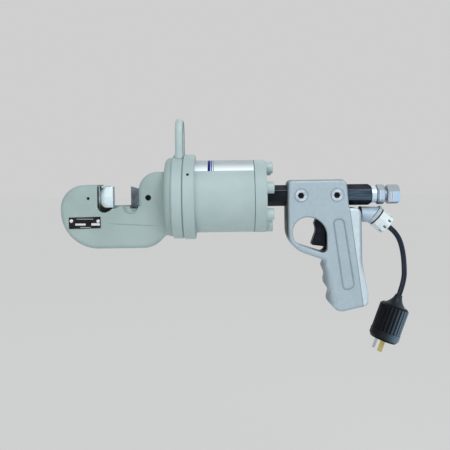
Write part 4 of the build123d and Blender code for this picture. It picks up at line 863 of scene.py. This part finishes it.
def ring_tree():
    """Copies of a turned piece on a circle round the ram axis, each turned to its place."""
    inputs = (
        ("Count", "NodeSocketInt"),
        ("Circle radius", "NodeSocketFloat"),
        ("First angle", "NodeSocketFloat"),
        ("Seat", "NodeSocketVector"),
        ("Material", "NodeSocketMaterial"),
    )
    tree, given, outlet = start_tree("ring_of_screws", inputs)
    index = tree.nodes.new("GeometryNodeInputIndex").outputs["Index"]
    step = tree_maths(tree, "DIVIDE", 2 * math.pi, given["Count"])
    angle = tree_maths(tree, "MULTIPLY_ADD", index, step)
    tree.links.new(given["First angle"], angle.node.inputs[2])
    across = tree_maths(tree, "MULTIPLY", tree_maths(tree, "SINE", angle), given["Circle radius"])
    up = tree_maths(tree, "MULTIPLY", tree_maths(tree, "COSINE", angle), given["Circle radius"])
    offset = tree.nodes.new("ShaderNodeCombineXYZ")
    tree.links.new(tree_maths(tree, "MULTIPLY", across, -1), offset.inputs["Y"])
    tree.links.new(up, offset.inputs["Z"])
    place = tree.nodes.new("ShaderNodeVectorMath")
    place.operation = "ADD"
    tree.links.new(offset.outputs["Vector"], place.inputs[0])
    tree.links.new(given["Seat"], place.inputs[1])
    points = tree.nodes.new("GeometryNodePoints")
    tree.links.new(given["Count"], points.inputs["Count"])
    tree.links.new(place.outputs["Vector"], points.inputs["Position"])
    turn = tree.nodes.new("ShaderNodeCombineXYZ")
    tree.links.new(angle, turn.inputs["X"])
    ring = copies(tree, points.outputs["Points"], given["Geometry"], turn.outputs["Vector"])
    return end_tree(tree, given, outlet, ring)


def row_tree():
    """Copies of a turned piece in a row, each turned the same way."""
    inputs = (
        ("Count", "NodeSocketInt"),
        ("First place", "NodeSocketVector"),
        ("Step", "NodeSocketVector"),
        ("Turn", "NodeSocketVector"),
        ("Material", "NodeSocketMaterial"),
    )
    tree, given, outlet = start_tree("row_of_screws", inputs)
    line = tree.nodes.new("GeometryNodeMeshLine")
    tree.links.new(given["Count"], line.inputs["Count"])
    tree.links.new(given["First place"], line.inputs["Start Location"])
    tree.links.new(given["Step"], line.inputs["Offset"])
    row = copies(tree, line.outputs["Mesh"], given["Geometry"], given["Turn"])
    return end_tree(tree, given, outlet, row)


def bead_tree():
    """Round bead along a line, for raised borders."""
    inputs = (
        ("Bead radius", "NodeSocketFloat"),
        ("Material", "NodeSocketMaterial"),
    )
    tree, given, outlet = start_tree("bead_on_line", inputs)
    return end_tree(tree, given, outlet, round_bar(tree, given["Geometry"], given["Bead radius"]))


def weld_tree():
    """Overlapping drops of weld along a line."""
    inputs = (
        ("Drop radius", "NodeSocketFloat"),
        ("Spacing", "NodeSocketFloat"),
        ("Material", "NodeSocketMaterial"),
    )
    tree, given, outlet = start_tree("weld_on_line", inputs)
    spaced = tree.nodes.new("GeometryNodeCurveToPoints")
    spaced.mode = "LENGTH"
    tree.links.new(given["Geometry"], spaced.inputs["Curve"])
    tree.links.new(given["Spacing"], spaced.inputs["Length"])
    drop = tree.nodes.new("GeometryNodeMeshIcoSphere")
    drop.inputs["Subdivisions"].default_value = 2
    tree.links.new(given["Drop radius"], drop.inputs["Radius"])
    piece = smoothed(tree, drop.outputs["Mesh"])
    weld = copies(tree, spaced.outputs["Points"], piece, spaced.outputs["Rotation"])
    return end_tree(tree, given, outlet, weld)


def spring_tree():
    """Compression spring along X, wound from a round wire."""
    inputs = (
        ("Turns", "NodeSocketFloat"),
        ("Coil radius", "NodeSocketFloat"),
        ("Wire radius", "NodeSocketFloat"),
        ("Length", "NodeSocketFloat"),
        ("Start", "NodeSocketVector"),
        ("Material", "NodeSocketMaterial"),
    )
    tree, given, outlet = start_tree("wound_spring", inputs)
    line = tree.nodes.new("GeometryNodeCurveSpiral")
    line.inputs["Resolution"].default_value = 32
    tree.links.new(given["Turns"], line.inputs["Rotations"])
    tree.links.new(given["Coil radius"], line.inputs["Start Radius"])
    tree.links.new(given["Coil radius"], line.inputs["End Radius"])
    tree.links.new(given["Length"], line.inputs["Height"])
    place = tree.nodes.new("GeometryNodeTransform")
    place.inputs["Rotation"].default_value = (math.pi / 2, 0, math.pi / 2)
    tree.links.new(line.outputs["Curve"], place.inputs["Geometry"])
    tree.links.new(given["Start"], place.inputs["Translation"])
    wire = round_bar(tree, place.outputs["Geometry"], given["Wire radius"])
    return end_tree(tree, given, outlet, wire)


def grown(name, base, tree, values, stands_for=(), body="tool_body"):
    """Runs a tree on a base shape and keeps the result as a plain mesh that rides on a body."""
    carrier = bpy.data.objects.new(name + "_base", base)
    scene.collection.objects.link(carrier)
    modifier = carrier.modifiers.new(name, "NODES")
    modifier.node_group = tree
    for socket in tree.interface.items_tree:
        if socket.in_out == "INPUT" and socket.name in values:
            modifier[socket.identifier] = values[socket.name]
    depsgraph = bpy.context.evaluated_depsgraph_get()
    mesh = bpy.data.meshes.new_from_object(carrier.evaluated_get(depsgraph))
    carrier.modifiers.remove(modifier)
    bpy.data.objects.remove(carrier)
    piece = bpy.data.objects.new(name, mesh)
    scene.collection.objects.link(piece)
    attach(piece, body)
    if stands_for:
        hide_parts(*stands_for)
    return piece


# Springs
def springs(finishes):
    """The two springs, each wound from round wire in the box of its part."""
    tree = spring_tree()
    for name, node, turns, wire, joint, fixed_end, travel in (
        ("wound_return_spring", "return_spring", 6, return_wire / 1000, "ram_slide", 0, 0.0247),
        ("wound_trigger_spring", "trigger_spring", 4, trigger_wire / 1000, "trigger_pull", 1, 0.0064),
    ):
        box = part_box(node)
        length = box[1].x - box[0].x
        middle = (box[0] + box[1]) / 2
        coil = (box[1].z - box[0].z) / 2 - wire
        piece = grown(
            name,
            bpy.data.meshes.new(name + "_start"),
            tree,
            {
                "Turns": turns,
                "Coil radius": coil,
                "Wire radius": wire,
                "Length": length - 2 * wire,
                "Start": (box[0].x + wire, middle.y, middle.z),
                "Material": finishes["steel"],
            },
            [node],
        )
        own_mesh(piece)


# Screws, rivets and the connector's shoulder
def cap_screws(finishes):
    """Socket screws in a circle on the rear cap."""
    grown(
        "cap_socket_screws",
        socket_screw("cap_screw_base", shank=5, length=34.2, head=8, top=9.6, flats=8, depth=4.8, edge=0.9),
        ring_tree(),
        {
            "Count": 7,
            "Circle radius": cap_screw_circle / 1000,
            "First angle": math.radians(cap_screw_first_angle),
            "Seat": at(cap_rear, 0, 0),
            "Material": finishes["paint"],
        },
        ["cap_screws"],
    )


def clamp_screws(finishes, row):
    """Two large set screws in the grip's near side."""
    grown(
        "grip_clamp_screws",
        socket_screw("clamp_screw_base", shank=8, length=6.6, head=8, top=0.9, flats=8, depth=5.6, edge=0.7),
        row,
        {
            "Count": 2,
            "First place": at(clamp_screw_first, -grip_half_width + 0.1, 0),
            "Step": (clamp_screw_step / 1000, 0, 0),
            "Turn": (0, 0, math.radians(-90)),
            "Material": finishes["clamp_zinc"],
        },
        ["clamp_screws"],
    )


def cover_screws(finishes, row):
    """Two small screws in the back of the grip's cover, which leans, so the lower is further back."""
    head = 4.6
    top = 2.9
    low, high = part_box("cover_screws")
    lower_seat = high.x - top / 1000
    upper_seat = lower_seat - 0.0077
    step = (high.z - low.z) - 2 * head / 1000
    grown(
        "grip_cover_screws",
        socket_screw("cover_screw_base", 2.5, 14.5, head=head, top=top, flats=3, depth=1.8, edge=0.9),
        row,
        {
            "Count": 2,
            "First place": (upper_seat, 0, high.z - head / 1000),
            "Step": (lower_seat - upper_seat, 0, -step),
            "Turn": (0, 0, 0),
            "Material": finishes["zinc"],
        },
        ["cover_screws"],
    )


def plate_rivets(finishes, row):
    """Two round-headed rivets through the ends of the plate."""
    half_spacing = 18.2
    half_run = half_spacing * math.cos(math.radians(plate_tilt))
    half_fall = half_spacing * math.sin(math.radians(plate_tilt))
    rivet_level = plate_level + 2.4
    grown(
        "plate_drive_rivets",
        turned_base(
            "rivet_base",
            ((-0.7, 0), (-0.7, 1.3), (0, 1.3), (0, 2.6), (0.35, 2.5), (0.8, 1.9), (1.1, 1.0), (1.2, 0)),
            sides=24,
        ),
        row,
        {
            "Count": 2,
            "First place": at(plate_centre - half_run, -jaw_half_width - 0.8, rivet_level + half_fall),
            "Step": (2 * half_run / 1000, 0, -2 * half_fall / 1000),
            "Turn": (0, 0, math.radians(-90)),
            "Material": finishes["rivet"],
        },
        ["nameplate_rivets"],
    )


def connector_ring(finishes):
    """Turned shoulder round the connector's arm, under the gland nut."""
    mesh = turned_base(
        "connector_ring_shape",
        ((-5.4, 11.5), (-5.4, 13.9), (-4.9, 14.4), (-0.7, 14.4), (-0.2, 13.9), (-0.2, 11.5), (-5.4, 11.5)),
    )
    turn = Matrix.Rotation(math.radians(connector_bend), 4, "Y")
    mesh.transform(Matrix.Translation(at(*connector_face)) @ turn)
    mesh.materials.append(finishes["shoulder"])
    ring = bpy.data.objects.new("connector_shoulder", mesh)
    scene.collection.objects.link(ring)
    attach(ring, "tool_body")


# Lines that beads and welds follow
def line_through(name, points, closed):
    """Straight runs from point to point."""
    line = bpy.data.curves.new(name, "CURVE")
    line.dimensions = "3D"
    spline = line.splines.new("POLY")
    spline.points.add(len(points) - 1)
    for point, place in zip(spline.points, points):
        point.co = (*place, 1)
    spline.use_cyclic_u = closed
    return line


def rounded(corners, radius, steps):
    """Closed outline through corners of a convex shape, each rounded by an arc of short runs."""
    outline = []
    places = [Vector(corner) for corner in corners]
    for before, corner, after in zip(places[-1:] + places, places, places[1:] + places[:1]):
        into = (corner - before).normalized()
        out = (after - corner).normalized()
        cut = radius * math.tan(into.angle(out) / 2)
        for step in range(steps + 1):
            share = step / steps
            first = corner - into * cut * (1 - share)
            second = corner + out * cut * share
            outline.append(first.lerp(second, share))
    return outline


def grip_borders(finishes):
    """Plain raised border on each side of the handle, painted darker than the grip as shade."""
    tree = bead_tree()
    corners = ((210.1, -32.6), (224.3, -32.7), (237.9, -126.2), (222.9, -130.6))
    outline = rounded(corners, radius=6.6, steps=10)
    for side, name in ((-1, "near_grip_border"), (1, "far_grip_border")):
        points = [at(x, side * (grip_half_width - 0.1), z) for x, z in outline]
        grown(
            name,
            line_through(name + "_line", points, True),
            tree,
            {"Bead radius": 0.0011, "Material": finishes["shaded_border_cast"]},
        )


def bail_welds(finishes):
    """Weld round each foot of the bail, on the bail ring."""
    tree = weld_tree()
    for side, name in ((-1, "near_bail_weld"), (1, "far_bail_weld")):
        points = []
        for degrees in range(60, 305, 5):
            angle = math.radians(degrees)
            x = bail_foot_radius * math.cos(angle)
            y = side * bail_half_span + bail_foot_radius * math.sin(angle)
            points.append(at(x, y, math.sqrt(bail_ring_radius**2 - y**2) + 0.2))
        grown(
            name,
            line_through(name + "_line", points, False),
            tree,
            {"Drop radius": 0.0009, "Spacing": 0.0011, "Material": finishes["cast_paint"]},
        )


# Floor and light
def show_in_views(tree, lit, shown, share, end):
    """Mixes an even glow into what the camera and reflections see; other light meets the lit look."""
    rays = tree.nodes.new("ShaderNodeLightPath").outputs
    seen = rays["Is Camera Ray"]
    for name in ("Is Glossy Ray", "Is Transmission Ray"):
        seen = tree_maths(tree, "MAXIMUM", seen, rays[name])
    mix = tree.nodes.new("ShaderNodeMixShader")
    tree.links.new(tree_maths(tree, "MULTIPLY", seen, share), mix.inputs["Fac"])
    tree.links.new(lit, mix.inputs[1])
    tree.links.new(shown, mix.inputs[2])
    tree.links.new(mix.outputs["Shader"], tree.nodes[end].inputs["Surface"])


def lay_floor():
    """Pale floor far below the hanging tool."""
    bpy.ops.mesh.primitive_plane_add(size=40, location=(0, 0, -0.62))
    floor = bpy.context.object
    floor.name = "floor"
    material = bpy.data.materials.new("pale_floor")
    material.use_nodes = True
    tree = material.node_tree
    shader = tree.nodes["Principled BSDF"]
    shader.inputs["Base Color"].default_value = (0.86, 0.86, 0.86, 1)
    shader.inputs["Roughness"].default_value = 0.9
    glow = tree.nodes.new("ShaderNodeEmission")
    glow.inputs["Color"].default_value = colour(209, 209, 209)
    show_in_views(tree, shader.outputs["BSDF"], glow.outputs["Emission"], 0.85, "Material Output")
    floor.data.materials.append(material)


def set_world():
    """Soft light from all round, seen as the same grey as the floor."""
    world = bpy.data.worlds.new("grey_studio")
    world.use_nodes = True
    scene.world = world
    tree = world.node_tree
    ambient = tree.nodes["Background"]
    ambient.inputs["Color"].default_value = (0.93, 0.97, 1.0, 1)
    ambient.inputs["Strength"].default_value = 0.56
    backdrop = tree.nodes.new("ShaderNodeBackground")
    backdrop.inputs["Color"].default_value = colour(207, 207, 207)
    show_in_views(tree, ambient.outputs["Background"], backdrop.outputs["Background"], 1, "World Output")


def soft_lamp(name, place, size, power, tint=(1, 1, 1)):
    """Round area lamp that looks at the middle of the shear."""
    middle = Vector((0.08, 0, -0.12))
    lamp = bpy.data.lights.new(name, "AREA")
    lamp.shape = "DISK"
    lamp.size = size
    lamp.energy = power
    lamp.color = tint
    holder = bpy.data.objects.new(name, lamp)
    holder.location = place
    holder.rotation_euler = (middle - Vector(place)).to_track_quat("-Z", "Y").to_euler()
    scene.collection.objects.link(holder)


def light():
    soft_lamp("key_lamp", (0.6, -1.05, 0.95), size=0.9, power=11)
    soft_lamp("left_lamp", (-0.5, -1.3, 0.4), size=1.0, power=0.4)
    soft_lamp("back_lamp", (0.2, 1.0, 0.9), size=1.0, power=1.5)
    soft_lamp("low_lamp", (-0.5, -1.35, -0.22), size=0.6, power=2.6)
    soft_lamp("right_lamp", (1.15, -0.5, -0.25), size=0.5, power=0.7, tint=(0.85, 0.93, 1))


# The shear
def build():
    scene.view_settings.view_transform = "Standard"
    set_camera()
    finishes = make_finishes()
    dress_nodes(finishes)
    supply_cord(finishes)
    springs(finishes)
    cap_screws(finishes)
    row = row_tree()
    clamp_screws(finishes, row)
    cover_screws(finishes, row)
    plate_rivets(finishes, row)
    connector_ring(finishes)
    grip_borders(finishes)
    bail_welds(finishes)
    lay_floor()
    set_world()
    light()


build()
